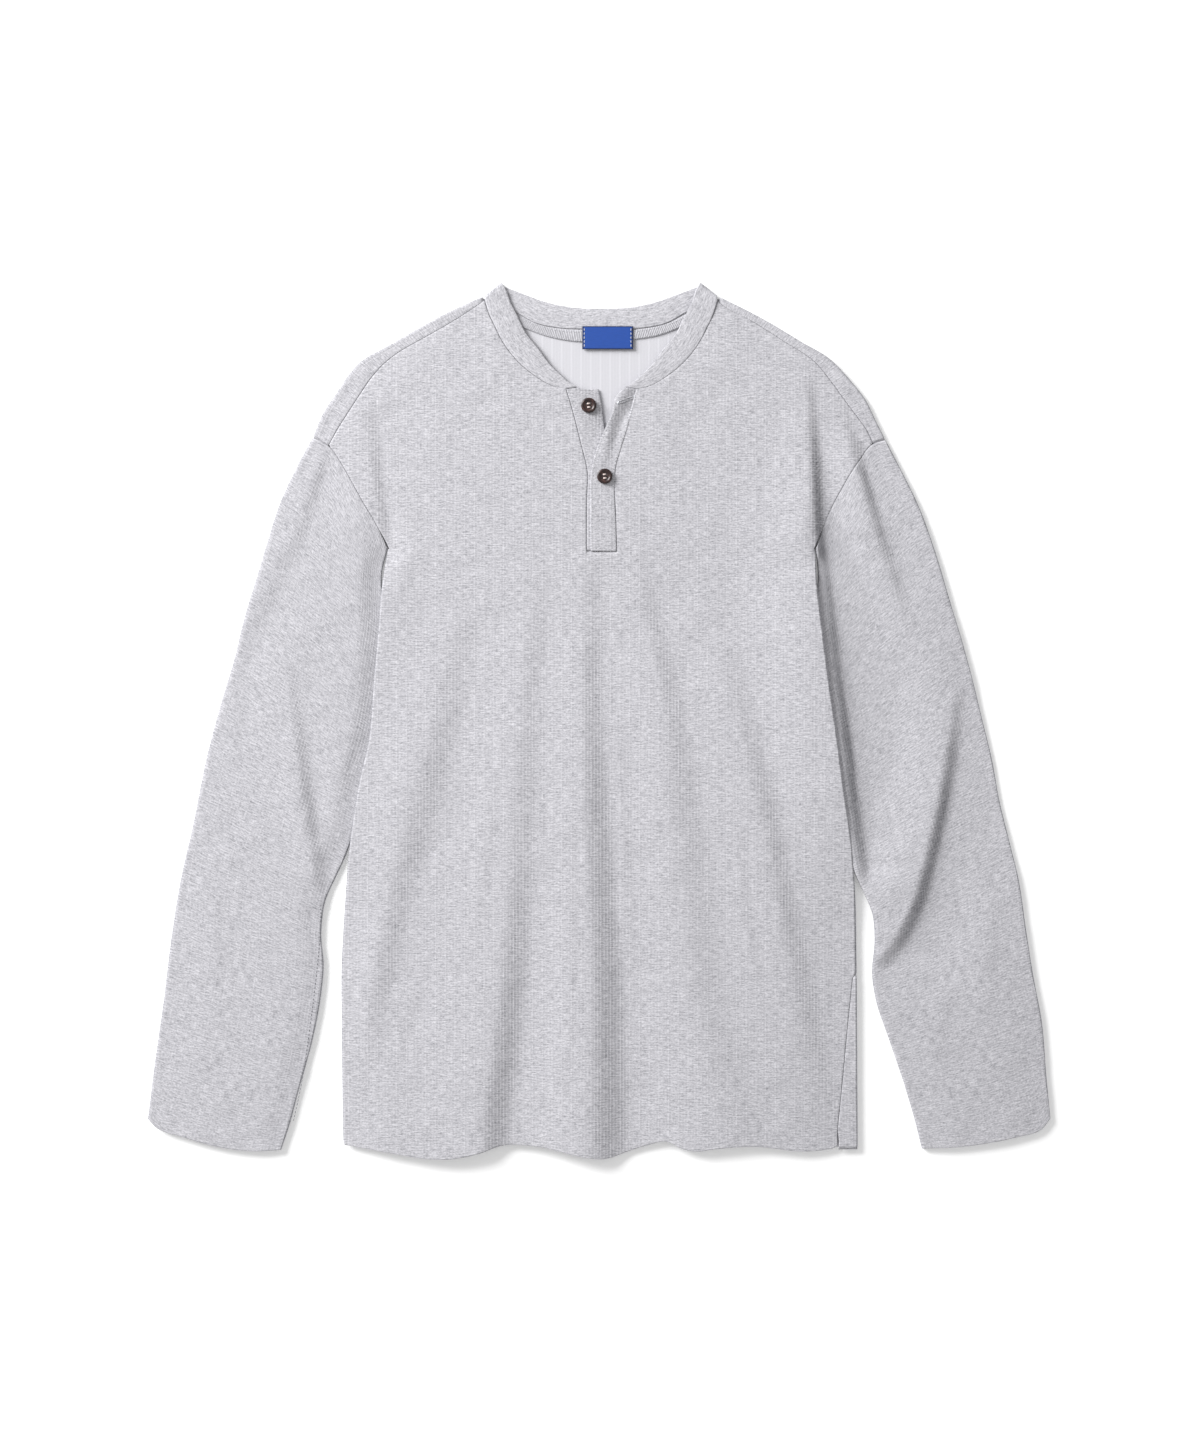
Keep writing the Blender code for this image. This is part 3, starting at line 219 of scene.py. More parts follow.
# Dip beside the body, along Y: y, share of full dip at left and at right, flat reach at left and at right
PIT_STRENGTH = ((-345, 0.45, 0.45, 0.0, 0.0), (-200, 0.48, 0.45, 0.0, 0.0), (-130, 0.5, 0.25, 0.0, 0.0),
                (-100, 0.9, 0.15, 2.0, 2.0), (-54, 0.95, 0.2, 5.5, 5.0), (-12, 1.0, 0.3, 7.5, 12.0),
                (26, 1.0, 0.5, 8.5, 18.0), (72, 1.0, 0.6, 6.5, 22.0), (100, 1.0, 0.7, 0.0, 19.0),
                (118, 1.0, 0.8, 0.0, 17.0), (142, 1.0, 1.0, 0.0, 8.0), (165, 0.9, 0.9, 0.0, 0.0),
                (200, 0.5, 0.5, 0.0, 0.0), (235, 0.2, 0.2, 0.0, 0.0), (262, 0.0, 0.0, 0.0, 0.0))
# Soft unevenness of the cloth: wave length x, wave length y, phase, height; and how far the waves wander
RIPPLES, RIPPLE_WANDER = ((61.0, 190.0, 0.4, 0.10), (37.0, 120.0, 2.1, 0.06), (143.0, 67.0, 4.0, 0.08)), 0.6

# Upper layer: its level, with the swell's height, first y and run; its height at the outer fold, left and
# right, and the reach of that fall; its least height, and the softness of the bend that holds it there
LEVEL, SWELL, SWELL_START, SWELL_RUN = 5.4, 2.6, 110.0, 150.0
EDGE_TOP, EDGE_BLEND, LOWEST_TOP, LOWEST_SOFTNESS = (4.9, 3.9), 40.0, 2.4, 0.35
CHEST, CHEST_BLEND = 142.0, 42.0        # y of the underarm, and the run below it of what changes there
SIDE_CALM, CORNER = 0.7, 9.0            # share of folds that the rolled sides lack, and the hem's rounding
SLEEVE_ROLL = 0.8                       # reach of a sleeve's inner fold
ARMHOLE_NORMAL = (0.82, 0.57)           # across the armhole's seam, towards the body and up
CAP_FADE, CUFF_SHARPNESS = 0.2, 12      # how far along a sleeve its armhole tells, and how late its cuff
SEAM_REACH, SEWN_REACH, SEWN_DEPTH = 0.9, 0.8, 0.16     # of the dips at seams, and at the placket's rows
EDGE_DRAW, HEM_DRAW, HEM_REACH = 0.2, 0.35, 0.9         # placket's edges drawn in, and the wrapped hem's row
CROWN = 0.12                                    # of the band and the tape between their edges
BAND_RISE, BAND_TIP_STEP = -0.3, (0.49, -0.87)  # over the body's height, and its tips' shift
BAND_FALL, BAND_SEAM_STEP = (1.2, -0.3), ((0.25, 0.2), (0.05, 0.05))    # at left and right
BAND_DRAW, BAND_GROOVE = (0.25, 0.08), 1.2      # groove beside both edges, at left and right, and its reach
BAND_ROLL = 1.2                                 # reach of the band's fold at each shoulder
BAND_END_DROP, BAND_END_REACH = 0.4, 14.0       # the band's left end sinks to the placket's under piece
ARMHOLE_ROWS, SHOULDER_ROWS, FRONT_ROWS, BACK_ROWS, STRIP_ROWS = 5, 8, 14, 7, 6
ARM_SHARE = ARMHOLE_ROWS / (ARMHOLE_ROWS + SHOULDER_ROWS)
ROW_CROWDING, TIP_SHARPNESS = 1.3, 60           # of the rows at the underarm, and of a shoulder's outer tip
EDGE_THINNING, BAND_THINNING = 0.5, 0.25        # share of the wall missing at an open edge

# Lines of points: closer ones beside a sewn edge, lengths of the large panels, length and step of the rest
EDGE_LINES = (0.0, 0.35, 0.8, 1.5, 2.6)
TURN = np.linspace(math.pi / 2, -math.pi / 2, 11)      # round a fold, from its top to its underside
SLIT_POINTS, STRIP_POINTS, BACK_POINTS, HALF_BACK_POINTS, SLEEVE_TOP, SLEEVE_UNDER = 9, 44, 60, 37, 58, 12
UPPER_LENGTH, CHEST_HALF, SHOULDER_LENGTH, SLEEVE_LENGTH = 195, 163, 170, 560
ARMHOLE_LINES, WRAP_LINES = (150, 4.0), (16, 2.0)
BAND_FRONT, BAND_BACK, BAND_ACROSS = (118, 2.2), (105, 2.6), (19, 1.9)
PLACKET_LINES, UNDER_ACROSS, FLY_ACROSS = (135, 2.0), (22, 1.7), (24, 1.7)
TAPE_LINES, TAPE_ACROSS = (140, 1.6), (9, 1.2)

# Sewing: how far stitches lie under the cloth's face and the buttonhole's stand out of it; how far inside
# the edges their rows run; and colours of thread
THREAD_SINK, SEAM_SINK, BAR_RISE, BAR_END_RISE = 0.3, 0.12, 0.05, 0.2
FLY_INSET, FLY_SEAM_INSET, UNDER_INSET, FOOT_INSET = 1.7, 1.9, 2.0, (1.5, 2.4)
TAPE_ROWS, LABEL_INSET, LABEL_MARGIN = (0.14, 0.84), 1.7, 0.6
# the near-black seam thread draws the sleeve seam's dark line: real stitches, their darkness partly painted
# shade in the seam
WHITE_THREAD, SEAM_SHADE_THREAD, BEIGE_THREAD = (0.85, 0.87, 0.92), (0.16, 0.16, 0.18), (0.78, 0.66, 0.62)

# Buttons: profile from the underside round the rim to the dish, as distance inside the rim and height; the
# holes' radius, their distance from the middle and the angle of the first; radius and spread of the thread
BUTTON_PROFILE = ((1.4, 0.0), (0.5, 0.2), (0.08, 0.65), (0.0, 1.05), (0.1, 1.5), (0.45, 1.85), (0.95, 2.05),
                  (1.5, 2.1), (2.0, 1.98), (2.4, 1.72), (2.8, 1.5), (3.4, 1.38), (4.4, 1.32))
DISH_HEIGHT, SHARP_ANGLE = 1.3, 38
HOLE_RADIUS, HOLE_DISTANCE, HOLE_ANGLE = 1.0, 3.0 / math.sqrt(2), 50
STRAND_RADIUS, STRANDS = 0.30, (-0.32, 0.32)

# Looks: spacing of the ribs in mm and share of pale fibres; way in plan to the lamp, and the gain of what
# faces it, for the painted shade that dims lit edges; place of the lamp, the floor and the camera
RIB, FINE_RIB, PALENESS = 8.0, 2.67, 0.612
LAMP_SIDE, RIM_GAIN = (-0.85, 0.53), 1.3
LAMP_SIZE, LAMP_PLACE = 2.05, (-3.04, 2.21, 1.91)                   # metres
FLOOR_SPAN, FLOOR_DROP = 3000.0, -0.1
CAMERA_AIM, SENSOR, FAR = (0.000675, 0.001275, 0.006), 36.0, 50.0   # metres, mm, metres


# Sizes and colours a user would change -----------------------------------------
def millimetres(name, about, default, **limits):
    """A size of the shirt."""
    return bpy.props.FloatProperty(name=name, description=f"{about}, mm", default=default, **limits)


def colour(name, about, default):
    """A colour, in linear light."""
    return bpy.props.FloatVectorProperty(name=name, description=about, subtype="COLOR", size=3,
                                         default=default)


class HenleySizes(bpy.types.PropertyGroup):
    """Thicknesses, gaps and fineness of the cloth, in millimetres."""
    wall: millimetres("Knit thickness", "Wall of body and sleeves", 1.2)
    band_wall: millimetres("Neckband thickness", "Doubled rib", 2.0)
    placket_wall: millimetres("Placket thickness", "Doubled knit", 1.4)
    trim_wall: millimetres("Tape and label thickness", "Wall of both", 1.0)
    gap: millimetres("Seam gap", "Clear space between pieces", 0.2)
    roll: millimetres("Edge roll", "Reach of a rolled fold edge", 0.7)
    mesh_step: millimetres("Mesh step", "Spacing of the panels' points", 2.7, min=1.5)
    seam_dip: millimetres("Seam dip", "How far cloth dips at a seam", 0.2)
    stitch: millimetres("Stitch length", "Length of one stitch", 2.6)
    thread: millimetres("Thread width", "Width of sewing thread", 0.42)
    button: millimetres("Button diameter", "20 ligne button", 12.7)


class HenleyColours(bpy.types.PropertyGroup):
    """Colours of the yarns, thread, label and buttons."""
    yarn_light: colour("Light fibres", "Pale fibres of the heather", (0.665, 0.656, 0.692))
    yarn_dark: colour("Dark fibres", "Grey fibres of the heather", (0.20, 0.20, 0.22))
    inside: colour("Inside", "Paler plain inside of the knit", (0.63, 0.625, 0.66))
    thread: colour("Thread", "Sewing thread", (0.58, 0.58, 0.61))
    label: colour("Label", "Woven label", (0.0126, 0.062, 0.304))
    button: colour("Button", "Dark of the horn-like button", (0.018, 0.008, 0.008))


class HenleyStage(bpy.types.PropertyGroup):
    """Floor, lights and camera."""
    floor: colour("Floor", "Colour of the floor", (0.93, 0.93, 0.93))
    key: bpy.props.FloatProperty(name="Key light", description="Power of the soft key light, W",
                                 default=295.0)
    sky: bpy.props.FloatProperty(name="Sky", description="Strength of the even light", default=0.51)
    glow: bpy.props.FloatProperty(name="Floor glow", description="Light that shines through the floor",
                                  default=0.2)
    lens: bpy.props.FloatProperty(name="Lens", description="Focal length, mm", default=90.0, unit="CAMERA")
    view: bpy.props.FloatProperty(name="View height", description="Height of the picture on the floor",
                                  default=1.188, unit="LENGTH")


# Curves and patches --------------------------------------------------------------
def hermite(where, knots, values):
    """Cubic Hermite curve through values at knots, its slopes the central differences."""
    knots = np.asarray(knots, float)
    values = np.asarray(values, float)
    where = np.clip(np.asarray(where, float), knots[0], knots[-1])
    slopes = np.gradient(values, knots, axis=0)
    k = np.clip(np.searchsorted(knots, where, side="right") - 1, 0, len(knots) - 2)
    span = knots[k + 1] - knots[k]
    s = (where - knots[k]) / span
    shape = s.shape + (1,) * (values.ndim - 1)
    s, span = s.reshape(shape), span.reshape(shape)
    return ((2 * s ** 3 - 3 * s ** 2 + 1) * values[k] + (s ** 3 - 2 * s ** 2 + s) * span * slopes[k]
            + (3 * s ** 2 - 2 * s ** 3) * values[k + 1] + (s ** 3 - s ** 2) * span * slopes[k + 1])


def run_lengths(points):
    """Length along a line of points, or along each row of a grid, from its first point."""
    steps = np.linalg.norm(np.diff(points, axis=-2), axis=-1)
    return np.concatenate((np.zeros((*steps.shape[:-1], 1)), np.cumsum(steps, axis=-1)), axis=-1)


def trace(points, where):
    """Points of the smooth curve through a table, at fractions of its length."""
    points = np.asarray(points, float)
    run = run_lengths(points)
    return hermite(where, run / run[-1], points)


def mirrored(points):
    """The same curve on the other side of the neck."""
    return np.asarray(points, float) * (-1, 1)


def lines(length, step, start=False, end=False):
    """Fractions along a length: even steps, and closer lines beside each sewn end."""
    close = np.array(EDGE_LINES) / length
    low = close if start else close[:1]
    high = 1 - (close if end else close[:1])[::-1]
    count = max(2, int(round((high[0] - low[-1]) * length / step)) + 1)
    return np.unique(np.concatenate((low, np.linspace(low[-1], high[0], count), high)))


def coons(bottom, top, left, right, u, v):
    """Bilinearly blended patch: ruled both ways less the corners' bilinear surface."""
    u, v = u[None, :, None], v[:, None, None]
    ruled_up = (1 - v) * bottom[None] + v * top[None]
    ruled_across = (1 - u) * left[:, None] + u * right[:, None]
    corners = ((1 - u) * (1 - v) * bottom[0] + u * (1 - v) * bottom[-1]
               + (1 - u) * v * top[0] + u * v * top[-1])
    return ruled_up + ruled_across - corners


def smoothstep(value):
    """0 below 0, 1 above 1, and a soft S between."""
    t = np.clip(value, 0.0, 1.0)
    return t * t * (3 - 2 * t)

def bell(away, reach):
    """Gaussian: 1 at no distance and 1/e at its reach."""
    return np.exp(-(away / reach) ** 2)


def between(first, last, share):
    """What lies at a share of the way from the first to the last."""
    return first + (last - first) * share


def fold_height(top, bottom, angles):
    """Height round a fold: half an ellipse, from its top at a quarter turn to its bottom at minus that."""
    return (top + bottom) / 2 + (top - bottom) / 2 * np.sin(angles)


def around(count):
    """Angles of an even ring."""
    return np.linspace(0, math.tau, count, endpoint=False)


def circle(angles):
    """Points of the unit circle."""
    return np.stack((np.cos(angles), np.sin(angles)), axis=-1)


def left_of(way):
    """A way in plan turned by a quarter turn to its left."""
    return np.stack((-way[..., 1], way[..., 0]), axis=-1)


def column(y, table, index):
    """A column of a table whose first column is y, straight between its rows."""
    rows = np.asarray(table, float)
    return np.interp(y, rows[:, 0], rows[:, index])


def nearest(xy, path):
    """Distance to a polyline, its sign positive at the left hand of one who follows it, with the
    segment and the fraction along it."""
    start = np.asarray(path, float)[:-1, :2]
    step = np.asarray(path, float)[1:, :2] - start
    away = xy[..., None, :] - start
    s = np.clip((away * step).sum(-1) / (step * step).sum(-1), 0.0, 1.0)
    gap = np.linalg.norm(away - s[..., None] * step, axis=-1)
    pick = gap.argmin(-1)[..., None]
    hand = step[:, 0] * away[..., 1] - step[:, 1] * away[..., 0]
    gap, s, hand = (np.take_along_axis(value, pick, -1)[..., 0] for value in (gap, s, hand))
    return np.copysign(gap, hand), pick[..., 0], s


def lift(plan, height):
    """Plan points with their heights, as one array of x, y, z."""
    return np.concatenate((plan, np.broadcast_to(height, plan.shape[:-1])[..., None]), axis=-1)


# Heights -------------------------------------------------------------------------
def body_edge(y, sign):
    """X of the body's side edge."""
    rows = np.asarray(BODY_EDGE, float)
    return hermite(y, rows[:, 0], rows[:, 1 if sign < 0 else 2])


def distance(xy, path):
    """Distance to a polyline, unsigned."""
    return np.abs(nearest(xy, path)[0])


def outer_distance(xy):
    """Distance to the shirt's outer fold: both shoulders and both sleeves' outer edges."""
    folds = [np.concatenate((side["shoulder_fold"], side["sleeve_outer"][1:])) for side in SIDES]
    return np.minimum(distance(xy, folds[0]), distance(xy, folds[1]))


def pit_dip(xy, under):
    """Drop along the crease into the armpit, and beside the body on the sleeve's layer under it; the
    inner side of the crease takes a share of it, by a soft step across the crease."""
    drop = 0.0
    for index, side in enumerate(SIDES):
        line = np.concatenate((side["pit_crease"], trace(side["sleeve_inner"], np.linspace(0, 1, 41))[1:]))
        share = column(xy[..., 1], PIT_STRENGTH, 1 + index)
        share = np.where(xy[..., 1] > CHEST, share * side["crease_depth"]
                         + share ** CREASE_FADE * (1 - side["crease_depth"]), share)
        reach = column(xy[..., 1], PIT_STRENGTH, 3 + index)
        gap = nearest(xy, line)[0]
        away = (np.abs(gap) - reach) / side["pit_blend"]
        outer = smoothstep(side["sign"] * gap / CREASE_TURN + 0.5)
        below = smoothstep((CHEST - xy[..., 1]) / PIT_TURN)
        outer = between(outer, 1, below) if under else outer * (1 - below)
        kept = between(side["inner_share"], 1, outer)
        drop = drop + (LEVEL - side["pit_top"]) * share * kept * (1 - smoothstep(away))
    return drop


def fold_relief(xy, layer):
    """Sum of a layer's folds: a crest, a smooth fall across the path and a trough, the crest and
    the trough dying away as Gaussians."""
    relief = np.zeros(xy.shape[:-1])
    for on, climb, path in FOLDS:
        if on in (layer, "both"):
            drop, width = np.asarray(path, float)[:, 2:].T
            gap, k, s = nearest(xy, path)
            drop = between(drop[k], drop[k + 1], smoothstep(s))
            half = between(width[k], width[k + 1], s) / 2
            fall = CREST - smoothstep((gap / half + 1) / 2)
            relief += drop * fall * bell(np.maximum(np.abs(gap) - half, 0), climb)
    return relief


def ripples(xy):
    """Long low unevenness of the cloth: sines of x that wander with y."""
    x, y = xy[..., 0], xy[..., 1]
    return sum(height * np.sin(math.tau * (x / wide + RIPPLE_WANDER * np.sin(math.tau * y / tall + phase))
                               + phase) for wide, tall, phase, height in RIPPLES)


def above_lowest(z):
    """Height held above the lower layer by a soft bend."""
    return LOWEST_TOP + LOWEST_SOFTNESS * np.logaddexp(0, (z - LOWEST_TOP) / LOWEST_SOFTNESS)


def side_top(xy):
    """Height of the body's rolled side, at the left or at the right."""
    return np.where(xy[..., 0] < 0, column(xy[..., 1], SIDE_ROLL, 1), column(xy[..., 1], SIDE_ROLL, 2))


def pit_rise(xy):
    """Mound at the armpits: a soft step inwards across the body, and Gaussians outwards, up and down."""
    x, y = xy[..., 0], xy[..., 1]
    rise = 0.0
    for index, side in enumerate(SIDES):
        gap = side["sign"] * (body_edge(CHEST, side["sign"]) - x)
        inwards = 1 - smoothstep(gap / SIDE_BLEND[index])
        outwards = bell(np.minimum(gap, 0), PIT_RISE_OUT)
        upwards = bell(np.maximum(y - CHEST, 0), PIT_RISE_ABOVE)
        downwards = bell(np.maximum(CHEST - y, 0), PIT_RISE_BELOW)
        rise = rise + PIT_RISE[index] * inwards * outwards * upwards * downwards
    return rise


def rim_drop(xy):
    """Fall of the cloth towards the shirt's outer fold, a soft step of the distance to it."""
    fall = LEVEL - np.where(xy[..., 0] < 0, *EDGE_TOP)
    return fall * (1 - smoothstep(outer_distance(xy) / EDGE_BLEND))


def body_height(xy):
    """Mid-surface height of the front, and of the back where it comes forwards."""
    x, y = xy[..., 0], xy[..., 1]
    gap = np.minimum(x - body_edge(y, -1), body_edge(y, 1) - x)
    blend = np.where(x < 0, *SIDE_BLEND)
    side = (1 - smoothstep(gap / blend)) * (y < CHEST)
    level = LEVEL + SWELL * smoothstep((SWELL_START - y) / SWELL_RUN)
    z = level - rim_drop(xy) + np.where(y < CHEST, (side_top(xy) - level) * side, pit_rise(xy))
    z = z - pit_dip(xy, False) * smoothstep((y - CHEST + CHEST_BLEND) / CHEST_BLEND)
    calm = SIDE_CALM * side * smoothstep((CHEST - y) / CHEST_BLEND)
    return above_lowest(z + (fold_relief(xy, "body") + ripples(xy)) * (1 - calm))


def sleeve_height(xy):
    """Mid-surface height of a sleeve's upper layer."""
    z = LEVEL - rim_drop(xy) - pit_dip(xy, True) + pit_rise(xy)
    return above_lowest(z + fold_relief(xy, "sleeves") + ripples(xy))


def seam_dip(xy, seams, depth, reach=SEAM_REACH):
    """Rounded drop beside sewn edges: depth times a Gaussian of the distance to the nearest seam."""
    return depth * bell(np.min([distance(xy, seam) for seam in seams], axis=0), reach)


def roll(edge, inward, reach, top, bottom, angles):
    """Half ellipse round a fold edge: out from the top, round and back underneath."""
    away = reach[:, None] * (1 - np.cos(angles))
    plan = edge[:, None] + inward[:, None] * away[..., None]
    return lift(plan, fold_height(top[:, None], bottom[:, None], angles))


# Meshes --------------------------------------------------------------------------
def quads(rows, columns, ring=False):
    """Corner numbers of the faces of a grid, closed across its columns if it is a ring."""
    i, j = np.meshgrid(np.arange(rows - 1), np.arange(columns if ring else columns - 1), indexing="ij")
    k = (j + 1) % columns
    return np.stack((i * columns + j, i * columns + k, (i + 1) * columns + k, (i + 1) * columns + j),
                    axis=-1).reshape(-1, 4)


def mesh_from(name, points, faces, maps=None):
    """Mesh from arrays of points in millimetres and four-cornered faces, with an optional map in metres."""
    mesh = bpy.data.meshes.new(name)
    mesh.vertices.add(len(points))
    mesh.vertices.foreach_set("co", (points * MM).astype(np.float32).ravel())
    mesh.loops.add(faces.size)
    mesh.loops.foreach_set("vertex_index", faces.astype(np.int32).ravel())
    mesh.polygons.add(len(faces))
    mesh.polygons.foreach_set("loop_start", np.arange(0, faces.size, 4, dtype=np.int32))
    mesh.update(calc_edges=True)
    if maps is not None:
        layer = mesh.uv_layers.new(name=KNIT_MAP)
        layer.data.foreach_set("uv", (maps * MM).astype(np.float32).ravel())
    return mesh


def clean(mesh, merge=0.0, dissolve=0.0):
    """Merge points nearer than a distance, dissolve what is thinner than another, and turn the faces of
    each closed part one way."""
    bm = bmesh.new()
    bm.from_mesh(mesh)
    if merge:
        bmesh.ops.remove_doubles(bm, verts=bm.verts, dist=merge)
    if dissolve:
        bmesh.ops.dissolve_degenerate(bm, edges=bm.edges, dist=dissolve)
    bmesh.ops.recalc_face_normals(bm, faces=bm.faces)
    bm.to_mesh(mesh)
    bm.free()


def read(items, name, width=1, kind=np.float32):
    """A measure of all points, edges, corners or faces of a mesh: an array, in rows if it is wide."""
    values = np.empty(len(items) * width, kind)
    items.foreach_get(name, values)
    return values.reshape(-1, width) if width > 1 else values


def mark(mesh, name, values):
    """Store a number at each point, held between 0 and 1."""
    mesh.attributes.new(name, "FLOAT", "POINT").data.foreach_set("value", np.clip(values, 0.0, 1.0))


def face_outwards(mesh):
    """Turn all faces so that the cloth's outside faces up above the shirt's middle and down below it."""
    heights = read(mesh.polygons, "center", 3)[:, 2] - MIDDLE * MM
    if (read(mesh.polygons, "area") * read(mesh.polygons, "normal", 3)[:, 2] * heights).sum() < 0:
        mesh.flip_normals()


def join_patches(name, patches, ring=False):
    """One mesh from patches of points and their maps: shared edges merged, all faces turned one way, and
    how far the cloth leans to the right marked at each point, as the sine of its slope that way."""
    points, faces, maps, first = [], [], [], 0
    for grid, chart in patches:
        rows, columns = grid.shape[:2]
        corners = quads(rows, columns, ring)
        spread = chart.reshape(-1, 2)[corners]
        if ring:
            closing = np.zeros((rows - 1, columns), bool)
            closing[:, -1] = True
            girth = run_lengths(np.concatenate((grid, grid[:, :1]), axis=1))[:, -1]
            spread[closing.ravel(), 1, 0] += girth[:-1]
            spread[closing.ravel(), 2, 0] += girth[1:]
        points.append(grid.reshape(-1, 3) + CENTRING)
        faces.append(corners + first)
        maps.append(spread.reshape(-1, 2))
        first += rows * columns
    mesh = mesh_from(name, np.concatenate(points), np.concatenate(faces), np.concatenate(maps))
    clean(mesh, MERGE)
    face_outwards(mesh)
    normals = read(mesh.vertex_normals, "vector", 3)
    mark(mesh, LEAN, normals[:, 0] * np.sign(normals[:, 2]))
    return mesh


def add_object(name, data):
    """Object of a mesh, lamp or camera in the scene."""
    made = bpy.data.objects.new(name, data)
    bpy.context.scene.collection.objects.link(made)
    return made


def add_piece(name, mesh, material, replaces=()):
    """Object of the shirt with its material, its place in the record and the solid it stands for."""
    mesh.materials.append(material)
    mesh.shade_smooth()
    piece = add_object(name, mesh)
    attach(piece, "root")
    if replaces:
        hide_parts(*replaces)
    return piece


def facing(mesh, way):
    """How far each point lies out of the middle of its faces along a way in plan, from 0 to 1."""
    places, centres = read(mesh.vertices, "co", 3, float), read(mesh.polygons, "center", 3, float)
    corners = read(mesh.loops, "vertex_index", kind=np.int32)
    faces = np.repeat(np.arange(len(mesh.polygons)), 4)
    uses = np.bincount(corners, minlength=len(places))
    means = [np.bincount(corners, centres[faces, axis], len(places)) / uses for axis in (0, 1)]
    out = places[:, :2] - np.stack(means, axis=-1)
    return np.clip(out @ np.array(way) / np.maximum(np.linalg.norm(out, axis=1), 1e-9), 0.0, 1.0)


def ease_edges(piece, solid, thinning):
    """Thin the wall at the sheet's open edges, so that they look turned and not cut square, and mark how
    far the cloth faces the lamp there and where it turns down: the knit paints shade on what faces the
    lamp, to dim its highlight."""
    mesh = piece.data
    edges = read(mesh.loops, "edge_index", kind=np.int32)
    ends = read(mesh.edges, "vertices", 2, np.int32)
    outermost = np.unique(ends[np.bincount(edges, minlength=len(mesh.edges)) == 1])
    # how far each point faces the lamp in plan: the knit's painted shade dims these lit edges
    rim = RIM_GAIN * read(mesh.vertex_normals, "vector", 3)[:, :2] @ np.array(LAMP_SIDE, np.float32)
    rim[outermost] = facing(mesh, LAMP_SIDE)[outermost]
    mark(mesh, LAMP_RIM_SHADE, rim)
    group = piece.vertex_groups.new(name="edge")
    group.add(outermost.tolist(), thinning, "REPLACE")
    solid.vertex_group = group.name
    solid.invert_vertex_group = True


def add_cloth(name, patches, wall, materials, ring=False, thinning=EDGE_THINNING):
    """Open sheet with a wall round its middle, the right side in one material and the inside in another."""
    mesh = join_patches(name, patches, ring)
    piece = add_piece(f"{name}_cloth", mesh, materials[0], (name,))
    solid = piece.modifiers.new("wall", "SOLIDIFY")
    solid.thickness = wall * MM
    solid.offset = 0.0
    ease_edges(piece, solid, thinning)
    if len(materials) > 1:
        mesh.materials.append(materials[1])
        solid.material_offset = 1
    return piece


# Materials -----------------------------------------------------------------------
class Number:
    """A shader value: Python's operators on it add Math nodes to its tree."""

    def __init__(self, shader, socket):
        self.shader = shader
        self.socket = socket

    def apply(self, operation, *others):
        """The operation of a Math node on this value and others."""
        node = self.shader.node("ShaderNodeMath", {"operation": operation}, dict(enumerate((self, *others))))
        return Number(self.shader, node.outputs[0])

    def __add__(self, other):
        return self.apply("ADD", other)

    __radd__ = __add__

    def __sub__(self, other):
        return self.apply("SUBTRACT", other)

    def __rsub__(self, other):
        return self * -1.0 + other

    def __mul__(self, other):
        return self.apply("MULTIPLY", other)

    __rmul__ = __mul__

    def __truediv__(self, other):
        return self.apply("DIVIDE", other)

    def __pow__(self, other):
        return self.apply("POWER", other)

    def wave(self, period, phase=0.0):
        """From 0 to 1 and back in each period, as a cosine."""
        return (self * (math.tau / period) + phase).apply("COSINE") * 0.5 + 0.5

    def step(self, low, high):
        """Soft step from 0 at low to 1 at high."""
        node = self.shader.node("ShaderNodeMapRange", {"interpolation_type": "SMOOTHSTEP", "clamp": True},
                                {"Value": self, "From Min": low, "From Max": high})
        return Number(self.shader, node.outputs["Result"])

    def clipped(self):
        """Held between 0 and 1."""
        return self.apply("MAXIMUM", 0.0).apply("MINIMUM", 1.0)

    def root(self):
        """Square root."""
        return self.apply("SQRT")


